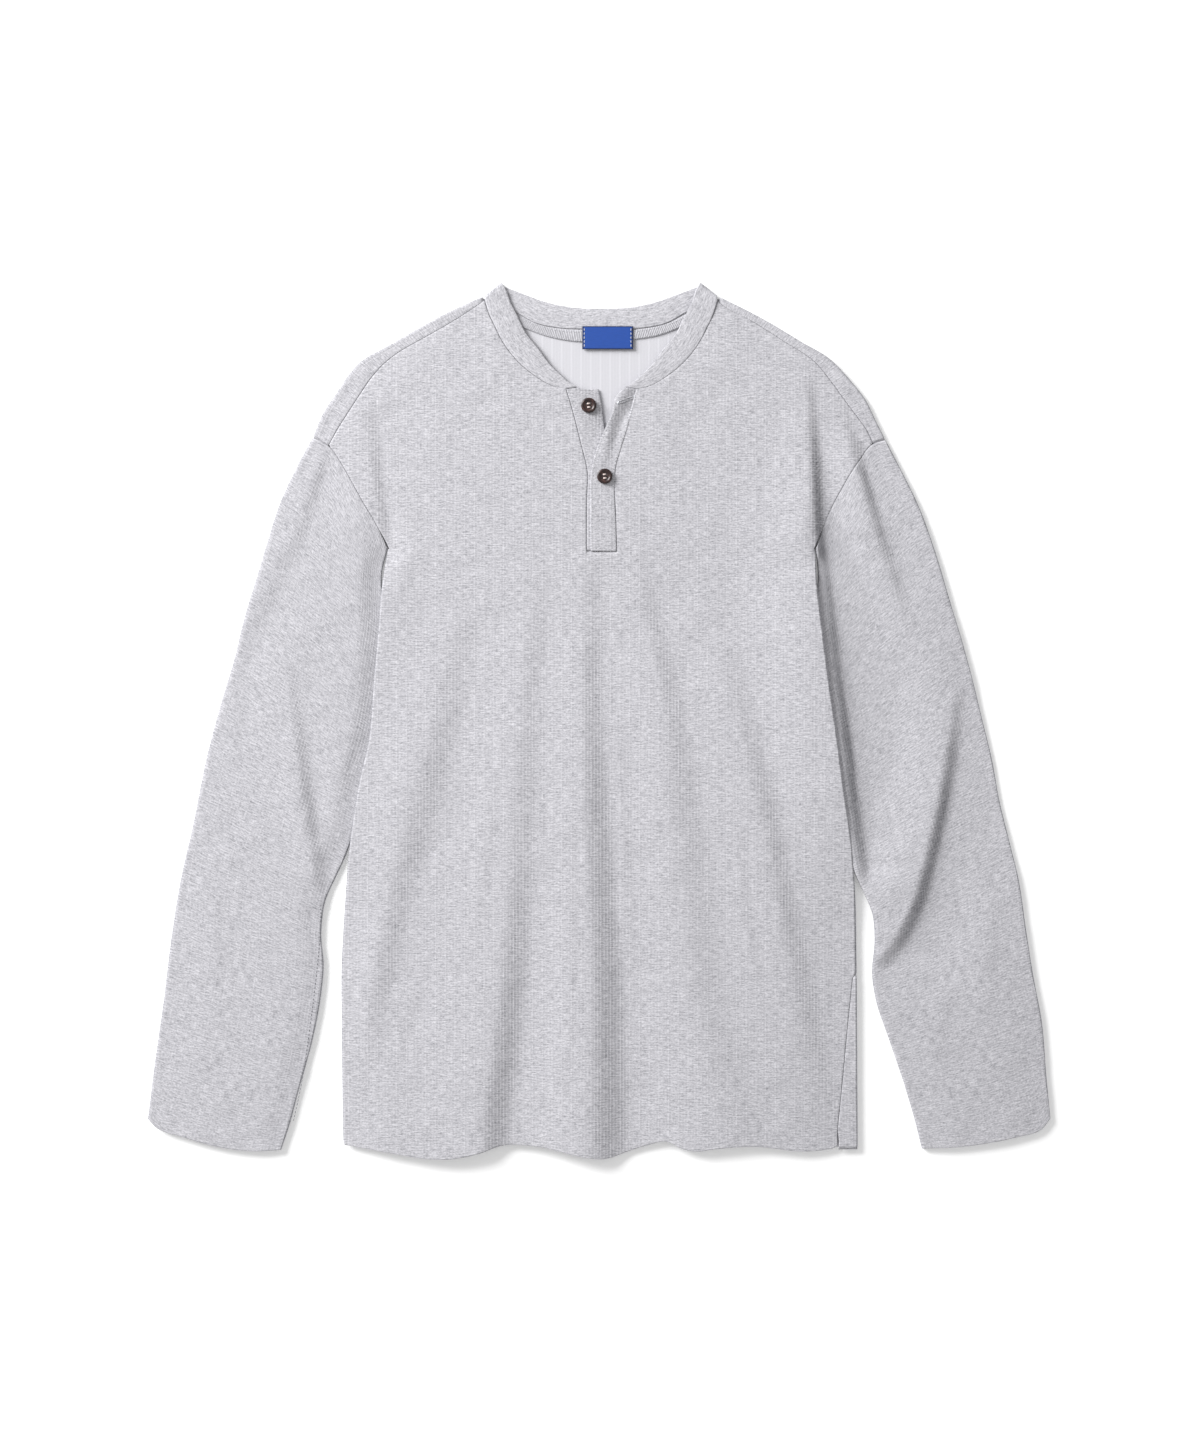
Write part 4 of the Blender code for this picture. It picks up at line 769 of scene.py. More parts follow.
class Finish:
    """A node material under construction, and the only place that adds its nodes."""

    def __init__(self, name, roughness, **constants):
        self.material = bpy.data.materials.new(name)
        self.material.use_nodes = True
        self.tree = self.material.node_tree
        self.surface = self.tree.nodes["Principled BSDF"]
        self.surface.inputs["Roughness"].default_value = roughness
        for socket, value in constants.items():
            self.surface.inputs[socket.replace("_", " ")].default_value = value

    def node(self, kind, settings=None, inputs=None):
        """A node of a type, with its settings first and then the values or links of its sockets."""
        made = self.tree.nodes.new(kind)
        for key, value in (settings or {}).items():
            setattr(made, key, value)
        for key, value in (inputs or {}).items():
            self.feed(made.inputs[key], value)
        return made

    def feed(self, target, value):
        """A value or a link into a socket."""
        if isinstance(value, Number):
            value = value.socket
        if isinstance(value, bpy.types.NodeSocket):
            self.tree.links.new(value, target)
        else:
            colour = target.type == "RGBA" and len(value) == 3
            target.default_value = (*value, 1.0) if colour else value

    def parts(self, vector, axes):
        """Numbers of a vector in metres, in millimetres."""
        parts = self.node("ShaderNodeSeparateXYZ", None, {0: vector})
        return [Number(self, parts.outputs[axis]) * 1000.0 for axis in axes]

    def chart(self):
        """Across and along the knit in millimetres, from the piece's own map."""
        return self.parts(self.node("ShaderNodeUVMap", {"uv_map": KNIT_MAP}).outputs["UV"], "XY")

    def place(self):
        """Object coordinates in millimetres."""
        return self.parts(self.node("ShaderNodeTexCoord").outputs["Object"], "XYZ")

    def measure(self, name):
        """A measure that the piece keeps at its own points."""
        return Number(self, self.node("ShaderNodeAttribute", {"attribute_name": name}).outputs["Fac"])

    def noise(self, x, y, z=0.0, detail=2.0, roughness=0.5):
        """Fractal noise of three numbers, one of its cells to each unit."""
        point = self.node("ShaderNodeCombineXYZ", None, {"X": x, "Y": y, "Z": z})
        made = self.node("ShaderNodeTexNoise", {"noise_dimensions": "3D"},
                         {"Vector": point.outputs[0], "Scale": 1.0, "Detail": detail,
                          "Roughness": roughness})
        return Number(self, made.outputs["Fac"])

    def blend(self, share, first, second):
        """Colour between two colours."""
        made = self.node("ShaderNodeMix", {"data_type": "RGBA", "clamp_factor": True}, {0: share})
        self.feed(made.inputs[6], first)
        self.feed(made.inputs[7], second)
        return made.outputs[2]

    def colour(self, socket):
        """Colour of the surface."""
        self.feed(self.surface.inputs["Base Color"], socket)

    def heather(self, share, colours):
        """Surface colour from the share of pale fibres."""
        self.colour(self.blend(share.clipped(), colours.yarn_dark, colours.yarn_light))

    def rough(self, number):
        """Roughness of the surface."""
        self.feed(self.surface.inputs["Roughness"], number)

    def bump(self, height, distance, strength=1.0):
        """Bump of a height from 0 to 1 that stands for a distance in millimetres."""
        made = self.node("ShaderNodeBump", None,
                         {"Height": height, "Distance": distance * MM, "Strength": strength})
        self.feed(self.surface.inputs["Normal"], made.outputs["Normal"])


def tinted(colour, share):
    """A colour made darker or paler."""
    return [min(1.0, value * share) for value in colour]


def heather_knit(name, colours, streak=(6.4, 1.1), ribs=1.0, shade=0.0, seed=0.0):
    """Heather jersey with dropped-needle ribs: pale and grey fibres in short streaks along the
    courses, a fine loop grain, a narrow rib each 8 mm and faint ones each 2.7 mm. Painted shade darkens
    slopes that fall sharply to the right, away from the lamp, and the fine ribs show more where the cloth
    leans that way, partly painted shade; a painted shade also dims edges that face the lamp."""
    finish = Finish(name, 0.92, Sheen_Weight=0.12, Sheen_Roughness=0.5)
    lean, rim = finish.measure(LEAN), finish.measure(LAMP_RIM_SHADE)
    across, along = finish.chart()
    bend = finish.noise(across / 34.0, along / 60.0, seed + 3.0, 1.0)
    course = along + (bend - 0.5) * 3.0
    streaks = finish.noise(across / streak[0], course / streak[1], seed, 3.0, 0.62)
    flecks = finish.noise(across / 1.7, course / 0.9, seed + 7.0, 2.0, 0.6)
    clouds = finish.noise(across / 26.0, course / 9.0, seed + 11.0, 2.0, 0.5)
    rib = across.wave(RIB) ** 26.0
    fine = across.wave(FINE_RIB) ** 3.0
    broken = finish.noise(across / 3.0, along / 22.0, seed + 17.0, 1.0).step(0.38, 0.62)
    # fine ribs show more where the cloth leans away from the lamp: partly painted shade
    closed = lean.step(0.03, 0.16)
    # painted shade: darker where the cloth falls sharply to the right, away from the lamp
    painted_fold_shade = lean.step(0.3, 0.68) - lean.step(0.8, 0.95)
    # painted shade: the rim term dims edges that face the lamp, and the fold term darkens slopes that fall
    # away from it
    share = (PALENESS - shade + (streaks - 0.5) * 1.65 + (flecks - 0.5) * 1.3 + (clouds - 0.5) * 0.2
             + (rib * 0.06 + (fine - 0.4) * 0.08) * broken * ribs
             + (fine - 0.31) * closed * (0.08 + broken * 0.14) - rim * rim * 0.45 - painted_fold_shade * 0.32)
    finish.heather(share, colours)
    height = streaks * 0.35 + flecks * 0.40 + (rib * 0.16 + fine * 0.08) * ribs + fine * closed * 0.15
    finish.bump(height, 0.32, 0.7)
    finish.rough(0.86 + (streaks - 0.5) * 0.2)
    return finish.material


def plain_inside(name, colours, seed=0.0):
    """Paler, plainer inside of the knit with its rib columns each 8 mm."""
    finish = Finish(name, 0.94, Sheen_Weight=0.1, Sheen_Roughness=0.5)
    across, along = finish.chart()
    grain = finish.noise(across / 2.6, along / 1.4, seed, 2.0, 0.5)
    rib = across.wave(RIB) ** 7.0
    fine = across.wave(FINE_RIB) ** 2.0
    share = 0.84 + (grain - 0.5) * 0.14 + rib * 0.20 - (1.0 - fine) * 0.05
    finish.colour(finish.blend(share.clipped(), tinted(colours.inside, 0.72), colours.inside))
    finish.bump(rib * 0.3 + fine * 0.10 + grain * 0.25, 0.25, 0.5)
    return finish.material


def ribbed_tape(name, colours):
    """Self-cloth tape turned on its side: close ribs across it, and heather fibres."""
    finish = Finish(name, 0.9, Sheen_Weight=0.1, Sheen_Roughness=0.5)
    across, along = finish.chart()
    fibres = finish.noise(across / 1.4, along / 4.0, 5.0, 3.0, 0.6)
    ticks = across.wave(1.9) ** 1.5
    finish.heather(0.62 + (fibres - 0.5) * 1.1 + (ticks - 0.5) * 0.34, colours)
    finish.bump(ticks * 0.7 + fibres * 0.3, 0.35, 0.8)
    return finish.material


def thread_finish(name, colour):
    """Spun polyester thread: fine diagonal twist and a slight gloss."""
    finish = Finish(name, 0.55, Sheen_Weight=0.2)
    x, y, z = finish.place()
    twist = (x + y * 0.8 + z).wave(0.35)
    finish.colour(finish.blend(twist, tinted(colour, 0.82), colour))
    finish.bump(twist, 0.05, 0.5)
    return finish.material


def woven_label(name, colour):
    """Satin-woven label: fine cross ribs, navy edges and a soft gloss."""
    finish = Finish(name, 0.42, Sheen_Weight=0.25, Sheen_Roughness=0.3)
    across, along = finish.chart()
    weft = along.wave(0.42)
    warp = across.wave(0.6)
    mottle = finish.noise(across / 5.0, along / 1.2, 2.0, 3.0, 0.6)
    half_x, half_y = LABEL_SIZE[0] / 2, LABEL_SIZE[1] / 2
    ends = (across * across).root().step(half_x - 2.6, half_x - 0.2)
    rims = (along * along).root().step(half_y - 1.4, half_y - 0.1)
    edge = ends.apply("MAXIMUM", rims)
    shine = (0.35 + mottle * 0.5 + weft * 0.15).clipped()
    face = finish.blend(shine, tinted(colour, 0.62), tinted(colour, 1.35))
    finish.colour(finish.blend(edge * 0.9, face, tinted(colour, 0.12)))
    finish.bump(weft * 0.6 + warp * 0.4, 0.08, 0.6)
    finish.rough(0.36 + weft * 0.14)
    return finish.material


def horn_finish(name, colour, seed, seat, radius):
    """Polished horn-like resin: near-black reddish brown with warm paler streaks inside a dark rim."""
    finish = Finish(name, 0.4, Coat_Weight=0.3, Coat_Roughness=0.22, IOR=1.45)
    x, y, _ = finish.place()
    from_middle = ((x - seat[0]) ** 2.0 + (y - seat[1]) ** 2.0).root()
    inner = 1.0 - from_middle.step(radius * 0.5, radius * 0.8)
    bend = finish.noise(x / 6.0, y / 6.0, seed, 2.0)
    bands = finish.noise((x + y * 0.5) / 2.6 + bend * 1.4, (y - x * 0.5) / 9.0, seed + 4.0, 3.0, 0.6)
    warm = finish.blend(bands.step(0.46, 0.74), colour, (0.075, 0.030, 0.024))
    pale = finish.noise(x / 1.6, y / 3.4, seed + 9.0, 2.0).step(0.5, 0.74)
    finish.colour(finish.blend(pale * inner * 0.55, warm, (0.20, 0.105, 0.085)))
    finish.rough(0.34 + bands * 0.16)
    finish.bump(bands, 0.03, 0.4)
    return finish.material


# Panels --------------------------------------------------------------------------
def armhole_nodes(side):
    """Fractions of the armhole curve that the panels meeting there share, corner first."""
    run = run_lengths(np.asarray(side["armhole"], float))
    return np.append(0.0, between(run[1] / run[-1], 1, np.linspace(0, 1, ARMHOLE_ROWS + 1)))


def armhole_shift(side, gap):
    """Half the seam gap, from the armhole seam towards the body."""
    return np.array((-side["sign"] * ARMHOLE_NORMAL[0], ARMHOLE_NORMAL[1])) * gap / 2


def body_rows(rows, hem):
    """Y of the solids' rows from the hem to the underarm, crowding towards the underarm."""
    upper = CHEST - (CHEST - WRAP_START) * (1 - np.linspace(0, 1, rows + 1)) ** ROW_CROWDING
    return np.concatenate((np.linspace(hem, WRAP_START, STRIP_ROWS + 1)[:-1], upper))


def seam_lines():
    """Sewn edges that the panels dip towards, for the front, for the back and for each sleeve."""
    even = np.linspace(0, 1, 90)
    shoulders, armholes = ([trace(side[key], even) for side in SIDES]
                           for key in ("shoulder_seam", "armhole"))
    opening = [trace(table, even) for table in (NECK_SEAM, mirrored(NECK_SEAM), SLIT_LEFT, SLIT_RIGHT)]
    wrapped = [np.asarray(WRAPPED_SEAM, float)[:, ::-1]]
    return {"front": shoulders + armholes + opening + wrapped, "back": shoulders + armholes + wrapped,
            "sleeve": armholes}


def dipped(plan, seams, sizes):
    """Height of the body's upper layer with its seams drawn in."""
    return body_height(plan) - seam_dip(plan, seams, sizes.seam_dip)


def flat_patch(grid):
    """Patch of a flat panel: its map is its own plan, x across the knit and y along it."""
    return grid, grid[..., :2].copy()


def ribbon_map(across, along):
    """Map of a ribbon or a tube: lengths across its rows, and one length along it for each row."""
    return np.stack((across, np.broadcast_to(along[:, None], across.shape)), axis=-1)


def upper_side_line(side, v, sizes):
    """Front's upper side at shares of its rows: up the armhole, then along the shoulder seam."""
    shares = ARM_SHARE * np.linspace(0, 1, ARMHOLE_ROWS + 1)
    arm = trace(side["armhole"], np.interp(v, shares, armhole_nodes(side)[:0:-1]))
    arm += armhole_shift(side, sizes.gap)
    start = body_edge(CHEST, side["sign"]) - side["sign"] * (sizes.wall / 2 + SIDE_ROLL[-1][4])
    arm[:, 0] += (start - arm[0, 0]) * (1 - np.clip(v / (ARM_SHARE / ARMHOLE_ROWS), 0, 1))
    rest = 1 - np.clip((v - ARM_SHARE) / (1 - ARM_SHARE), 0, 1)
    seam, fold = trace(side["shoulder_seam"], rest), trace(side["shoulder_fold"], rest)
    inward = (seam - fold) / np.linalg.norm(seam - fold, axis=1)[:, None]
    return np.where((v <= ARM_SHARE)[:, None], arm, seam + inward * sizes.gap / 2)


def front_patches(sizes):
    """Coons patches of the lower body and of the two upper halves beside the slit, and both rolled sides."""
    step, half = sizes.mesh_step, sizes.wall / 2
    seams = seam_lines()["front"]
    low = FRONT_HEM[0][1]
    y = low + (CHEST - low) * lines(CHEST - low, step, start=True)
    v = np.interp(y, body_rows(FRONT_ROWS, low), np.linspace(0, 1, FRONT_ROWS + STRIP_ROWS + 1))
    sides = {}
    for side in SIDES:
        sign = side["sign"]
        x = body_edge(y, sign) - sign * (half + column(y, SIDE_ROLL, 4))
        if sign > 0:
            x = np.where(y < WRAP_START, column(y, WRAPPED_SEAM, 1) - sizes.gap / 2, x)
        sides[sign] = np.stack((x, y), axis=-1)
    upper_v = lines(UPPER_LENGTH, step, end=True)
    arms = {side["sign"]: upper_side_line(side, upper_v, sizes) for side in SIDES}
    for sign in (-1, 1):
        sides[sign][-1] = arms[sign][0]
    slit_left, slit_right = np.array(SLIT_LEFT[0], float), np.array(SLIT_RIGHT[0], float)
    u = lines(CHEST_HALF, step, start=True, end=True)
    chest_left = between(arms[-1][0], slit_left, u[:, None])
    chest_slit = between(slit_left, slit_right, np.linspace(0, 1, SLIT_POINTS)[:, None])
    chest_right = between(slit_right, arms[1][0], u[:, None])
    chest = np.concatenate((chest_left, chest_slit[1:], chest_right[1:]))
    run = run_lengths(chest)
    run /= run[-1]
    hem = trace(FRONT_HEM, run)
    sides[-1][0], sides[1][0] = hem[0], hem[-1]
    plans = [coons(hem, chest, sides[-1], sides[1], run, v)]
    for sign, base, slit_table, neck_table in ((-1, chest_left, SLIT_LEFT, NECK_SEAM),
                                               (1, chest_right, SLIT_RIGHT, mirrored(NECK_SEAM)[::-1])):
        slit, neck, arm = trace(slit_table, upper_v), trace(neck_table, u), arms[sign]
        neck[0], neck[-1] = (arm[-1], slit[-1]) if sign < 0 else (slit[-1], arm[-1])
        plans.append(coons(base, neck, *((arm, slit) if sign < 0 else (slit, arm)), u, upper_v))
    patches = [flat_patch(lift(plan, dipped(plan, seams, sizes))) for plan in plans]
    lower = patches[0][0]
    patches.append(side_roll(LEFT, lower[:, 0], sizes))
    patches.append(side_roll(RIGHT, lower[np.searchsorted(y, WRAP_START):, -1], sizes))
    return patches


def side_roll(side, line, sizes):
    """Front's side edge: from its flat part round half an ellipse and underneath."""
    y, sign = line[:, 1], side["sign"]
    reach = np.abs(body_edge(y, sign) - sign * sizes.wall / 2 - line[:, 0])
    edge = line[:, :2] + np.stack((sign * reach, 0 * y), axis=-1)
    grid = roll(edge, np.tile((-sign, 0.0), (len(y), 1)), reach, line[:, 2], column(y, SIDE_ROLL, 3), TURN)
    grid[:, 0] = line
    rise = CORNER * np.exp(-(y - FRONT_HEM[0][1]) / (CORNER / 2))
    grid[..., 1] += rise[:, None] * (1 - np.abs(np.sin(TURN)))
    chart = np.stack((line[:, :1] + sign * run_lengths(grid), grid[..., 1]), axis=-1)
    return grid, chart


def shoulder_wrap(side, share, sizes):
    """Back's strip over the shoulder: fold point, inward direction, reach and width to the seam."""
    fold, seam = trace(side["shoulder_fold"], share), trace(side["shoulder_seam"], share)
    width = np.linalg.norm(seam - fold, axis=1)
    inward = (seam - fold) / width[:, None]
    half = sizes.wall / 2
    shift = armhole_shift(side, sizes.gap) * 2
    fold = fold + shift * np.clip(1 - (1 - share) * TIP_SHARPNESS, 0, 1)[:, None]
    return fold + inward * half, inward, np.minimum(sizes.roll, width * 0.5), width - half - sizes.gap / 2


def back_patches(sizes):
    """Floor sheet up to the back neck, the shoulder strips and the strip at the right hem."""
    half, step = sizes.wall / 2, sizes.mesh_step
    seams = seam_lines()["back"]
    rows = lines(*ARMHOLE_LINES)
    y_hem = FRONT_HEM[0][1] + BACK_HEM_RISE
    table_rows = body_rows(BACK_ROWS, y_hem)
    y = np.unique(np.concatenate((np.linspace(y_hem, WRAP_START, STRIP_POINTS),
                                  np.linspace(WRAP_START, CHEST, BACK_POINTS))))
    v = np.interp(y, table_rows, np.linspace(0, 1, len(table_rows)))
    share = 1 - lines(SHOULDER_LENGTH, step)
    wraps, edges = {}, {}
    for side in SIDES:
        sign = side["sign"]
        wraps[sign] = shoulder_wrap(side, share, sizes)
        fold, inward, reach, _ = wraps[sign]
        nodes = armhole_nodes(side)[:0:-1]
        nodes[-1] = (half + sizes.roll) / run_lengths(np.asarray(side["armhole"], float))[-1]
        where = np.interp(rows, np.linspace(0, 1, len(nodes)), nodes)
        arm = trace(side["armhole"], where) + armhole_shift(side, sizes.gap)
        arm[0, 0] -= sign * 2 * sizes.gap
        shoulder = fold + inward * reach[:, None]
        shoulder[0] = arm[-1]
        x = body_edge(y, sign) - sign * column(y, BACK_INSET, 1)
        fall = STRIP_FALL * bell(y - y_hem, STRIP_REACH) if sign > 0 else 0.0
        edges[sign] = (np.stack((x, y - fall), axis=-1), np.concatenate((arm, shoulder[1:])))
        edges[sign][0][-1] = arm[0]
    u = np.linspace(0, 1, 2 * HALF_BACK_POINTS - 1)
    chest = between(edges[-1][1][0], edges[1][1][0], u[:, None])
    hem = trace(FRONT_HEM, u) + (0, BACK_HEM_RISE)
    hem[0], hem[-1] = edges[-1][0][0], edges[1][0][0]
    half_neck = trace(BACK_NECK_SEAM, np.linspace(0, 1, HALF_BACK_POINTS)) - (0, sizes.gap)
    neck = np.concatenate((half_neck, mirrored(half_neck)[::-1][1:]))
    neck[0], neck[-1] = edges[-1][1][-1], edges[1][1][-1]
    upper_v = np.concatenate((rows * ARM_SHARE, between(ARM_SHARE, 1, 1 - share[1:])))
    lower = lift(coons(hem, chest, edges[-1][0], edges[1][0], u, v), half)
    upper = lift(coons(chest, neck, edges[-1][1], edges[1][1], u, upper_v), half)
    patches = [flat_patch(lower), flat_patch(upper)]
    for sign, end in ((-1, 0), (1, -1)):
        patches.append(wrapped_strip(wraps[sign], upper[len(rows) - 1:, end], seams, sizes))
    low = lower[y <= WRAP_START + 0.01][:, -1]
    edge = np.stack((body_edge(low[:, 1], 1) - half, low[:, 1]), axis=-1)
    vent = VENT * bell(low[:, 1] - y_hem, VENT_REACH)
    width = edge[:, 0] - column(low[:, 1], WRAPPED_SEAM, 1) - sizes.gap - vent
    wrap = (edge, np.tile((-1.0, 0.0), (len(low), 1)), np.minimum(sizes.roll, width * 0.7), width)
    strip, chart = wrapped_strip(wrap, low, seams, sizes)
    strip[-1, 1:, 1] -= sizes.gap
    turned = HEM_DRAW * bell(strip[..., 1] - y_hem - HEM_TURN, HEM_REACH)
    strip[..., 2] -= turned * (strip[..., 2] > 2 * sizes.wall)
    return [*patches, (strip, chart)]


def wrapped_strip(wrap, line, seams, sizes):
    """From the floor round a fold and forwards to a seam: half an ellipse, then the body's height."""
    fold, inward, reach, width = wrap
    top = body_height(fold + inward * reach[:, None])
    under = roll(fold, inward, reach, top, np.full(len(top), sizes.wall / 2), TURN[::-1])
    under[:, 0] = line
    share = lines(*WRAP_LINES, end=True)[1:]
    plan = fold[:, None] + inward[:, None] * between(reach[:, None], width[:, None], share)[..., None]
    grid = np.concatenate((under, lift(plan, dipped(plan, seams, sizes))), axis=1)
    return grid, ribbon_map(run_lengths(grid), run_lengths(grid[:, 0]))


def sleeve_patch(side, sizes):
    """Rings from armhole to cuff: over the top layer, round the inner edge and back underneath."""
    half = sizes.wall / 2
    along = lines(SLEEVE_LENGTH, sizes.mesh_step, start=True, end=True)
    outer, inner = trace(side["sleeve_outer"], along), trace(side["sleeve_inner"], along)
    width = np.linalg.norm(inner - outer, axis=1)[:, None]
    outer_turn, inner_turn = TURN[::-1][1:-1], TURN[1:-1]
    start, end = (half + sizes.roll) / width, 1 - (half + SLEEVE_ROLL) / width
    across = np.concatenate((
        (half + sizes.roll * (1 - np.cos(outer_turn))) / width,
        between(start, end, np.linspace(0, 1, SLEEVE_TOP)),
        1 - (half + SLEEVE_ROLL * (1 - np.cos(inner_turn))) / width,
        between(start, end, np.linspace(1, 0, SLEEVE_UNDER))), axis=1)
    plan = between(outer[:, None], inner[:, None], across[..., None])
    cap, cuff = (trace(side[key], across[row]) - plan[row] for key, row in (("armhole", 0), ("cuff", -1)))
    fade = (1 - smoothstep(along / CAP_FADE))[:, None, None]
    plan = plan + cap * fade - armhole_shift(side, sizes.gap) * fade
    plan = plan + cuff * (along ** CUFF_SHARPNESS)[:, None, None]
    height = sleeve_height(plan) - seam_dip(plan, seam_lines()["sleeve"], sizes.seam_dip)
    turns = len(outer_turn)
    after = turns + SLEEVE_TOP
    height[:, :turns] = fold_height(height[:, turns:turns + 1], half, outer_turn)
    height[:, after:after + turns] = fold_height(height[:, after - 1:after], half, inner_turn)
    height[:, after + turns:] = half
    grid = lift(plan, height)
    run = run_lengths(grid)
    middle = turns + SLEEVE_TOP // 2
    return grid, ribbon_map(run - run[:, middle, None], -run_lengths(grid[:, middle]))


def neckband_half(sizes, fall, step, draw):
    """Left half of the band, from the placket to the middle of the back, crowned between its seam and
    its free edge and falling towards the free edge by a given height."""
    front_steps, back_steps = lines(*BAND_FRONT), lines(*BAND_BACK)
    turn = np.linspace(math.pi / 2, -math.pi / 2, 13)[1:-1]
    seam_front = trace(NECK_SEAM[::-1], front_steps) + step
    free_front = trace(BAND_FREE_EDGE[::-1], front_steps)
    seam_back, free_back = trace(BACK_NECK_SEAM, back_steps), trace(BACK_BAND_FREE, back_steps)
    low, groove = sizes.band_wall / 2, BAND_GROOVE / BAND_ACROSS[0]
    rows = []
    for share in lines(*BAND_ACROSS, start=True, end=True):
        front, back = between(seam_front, free_front, share), between(seam_back, free_back, share)
        inset = between(*np.array(BAND_TIP), share) + np.array(BAND_TIP_STEP)
        way = front[-1] - inset
        start = inset + way * min(1.0, BAND_ROLL / np.linalg.norm(way))
        front = np.concatenate((front, between(front[-1], start, np.array((0.4, 0.8, 1.0))[:, None])))
        crown = CROWN * (1 - (2 * share - 1) ** 2) - draw * (bell(share, groove) + bell(1 - share, groove))
        top = body_height(front) + BAND_RISE + crown - fall * share ** 1.5
        ends = np.where((turn > 0)[:, None], front[-1], back[0])
        plan = between(inset, ends, (1 - np.cos(turn))[:, None])
        rows.append(np.concatenate((lift(front, top), lift(plan, fold_height(top[-1], low, turn)),
                                    lift(back, low + max(crown, 0.0)))))
    return np.stack(rows, axis=1)


def neckband_patch(sizes):
    """Ribbon from the placket over both shoulders, its left end sunk to the placket's under piece."""
    left, right = (neckband_half(sizes, *values) for values in zip(BAND_FALL, BAND_SEAM_STEP, BAND_DRAW))
    grid = np.concatenate((left, right[::-1][1:] * (-1, 1, 1)))
    along = run_lengths(grid[:, left.shape[1] // 2])
    grid[..., 2] -= BAND_END_DROP * bell(along, BAND_END_REACH)[:, None]
    return grid, ribbon_map(run_lengths(grid), along)[..., ::-1]


# Placket and trim ------------------------------------------------------------------
def strip_plan(left, right, top, columns, rows):
    """Plan of a placket piece between its long edges, with its top edge given by a table."""
    bottom = between(left[0], right[0], columns[:, None])
    top_line = trace(top, columns)
    left, right = left.copy(), right.copy()
    left[-1], right[-1] = top_line[0], top_line[-1]
    return coons(bottom, top_line, left, right, columns, rows)


def strip_height(plan, columns, offsets, grooves):
    """Body's height moved up or down across the strip, sunk where its foot is sewn down, with its
    edges drawn in and its sewn lines sunk."""
    away = np.minimum(columns, 1 - columns) * FLY_ACROSS[0]
    foot = FOOT_DROP * bell(plan[..., 1] - SLIT_LEFT[0][1], FOOT_REACH) * (1 - columns)
    z = body_height(plan) + between(*offsets, columns) - foot - EDGE_DRAW * bell(away, SEWN_REACH)
    return z - seam_dip(plan, grooves, SEWN_DEPTH, SEWN_REACH)


def under_sink(y, share):
    """Fall of the under piece towards its free edge, into the neck opening: a soft step of y times the
    square of the share across."""
    drop, start, over = UNDER_SINK
    return drop * smoothstep((y - start) / over) * share ** 2


def under_patch(sizes):
    """Under piece, from the slit's left edge to its own free edge below the fly."""
    rows, columns = lines(*PLACKET_LINES, end=True), lines(*UNDER_ACROSS, start=True, end=True)
    left, right = trace(SLIT_LEFT, rows) + (sizes.gap, 0), trace(UNDER_RIGHT, rows)
    left[0, 1] = UNDER_RIGHT[0][1]
    plan = strip_plan(left, right, UNDER_TOP, columns, rows)
    height = strip_height(plan, columns, UNDER_RISE, [under_stitch_line(sizes)])
    return flat_patch(lift(plan, height - under_sink(plan[..., 1], columns)))


def fly_patch(sizes):
    """Fly, from its free left edge to the slit's right edge, its top corner turned."""
    rows = lines(*PLACKET_LINES, start=True, end=True)
    columns = lines(*FLY_ACROSS, start=True, end=True)
    right = trace(SLIT_RIGHT, rows) - (sizes.gap, 0)
    right[0, 1] = FLY_LEFT[0][1]
    plan = strip_plan(trace(FLY_LEFT, rows), right, FLY_TOP, columns, rows)
    height = strip_height(plan, columns, FLY_RISE, fly_stitch_lines())
    return flat_patch(lift(plan, height + fold_relief(plan, "fly")))


def fly_stitch_lines():
    """Sewn lines of the fly: inside its free edge, beside its seam and across its foot."""
    rows = np.linspace(0.0, 1.0, 60)
    left, right = trace(FLY_LEFT, rows), trace(SLIT_RIGHT, rows)
    unit = (right - left) / np.linalg.norm(right - left, axis=1)[:, None]
    foot = np.array((left[0] + FOOT_INSET, (right[0, 0] - FOOT_INSET[0], left[0, 1] + FOOT_INSET[1])))
    return [(left + unit * FLY_INSET)[2:-3], (right - unit * FLY_SEAM_INSET)[2:-3], foot]


def buttonhole_bars():
    """Short bars across both long sides of the buttonhole, and bars across its ends."""
    start, end = np.array(BUTTONHOLE)
    length = np.linalg.norm(end - start)
    along = (end - start) / length
    normal = left_of(along)
    bars = [start + along * s + np.outer(BAR_SPAN, normal * side)
            for s in np.arange(0, length, BAR_STEP) for side in (-1, 1)]
    ends = [spot + along * s + np.outer((-BAR_END, BAR_END), normal)
            for spot, s in ((start, -0.3), (start, -1.3), (end, 0.4))]
    return bars, ends


def under_stitch_line(sizes):
    """Sewn line of the under piece beside its seam, above the fly."""
    rows = np.linspace(0.5, 0.99, 40)
    return trace(SLIT_LEFT, rows) + (sizes.gap + UNDER_INSET, 0)


def strip_surface(xy, left_table, right_table, offsets):
    """Height of a placket piece at plan points: body's height and the offset at the share across."""
    left, right = (hermite(xy[:, 1], *np.array(table, float).T[::-1]) for table in (left_table, right_table))
    share = np.clip((xy[:, 0] - left) / (right - left), 0, 1)
    return body_height(xy) + between(*offsets, share)


def fly_top(xy, sizes):
    """Height of the fly's upper face."""
    fly = strip_surface(xy, FLY_LEFT, SLIT_RIGHT, FLY_RISE) + fold_relief(xy, "fly")
    return fly + sizes.placket_wall / 2


def under_top(xy, sizes):
    """Height of the under piece's upper face."""
    return strip_surface(xy, SLIT_LEFT, UNDER_RIGHT, UNDER_RISE) + sizes.placket_wall / 2


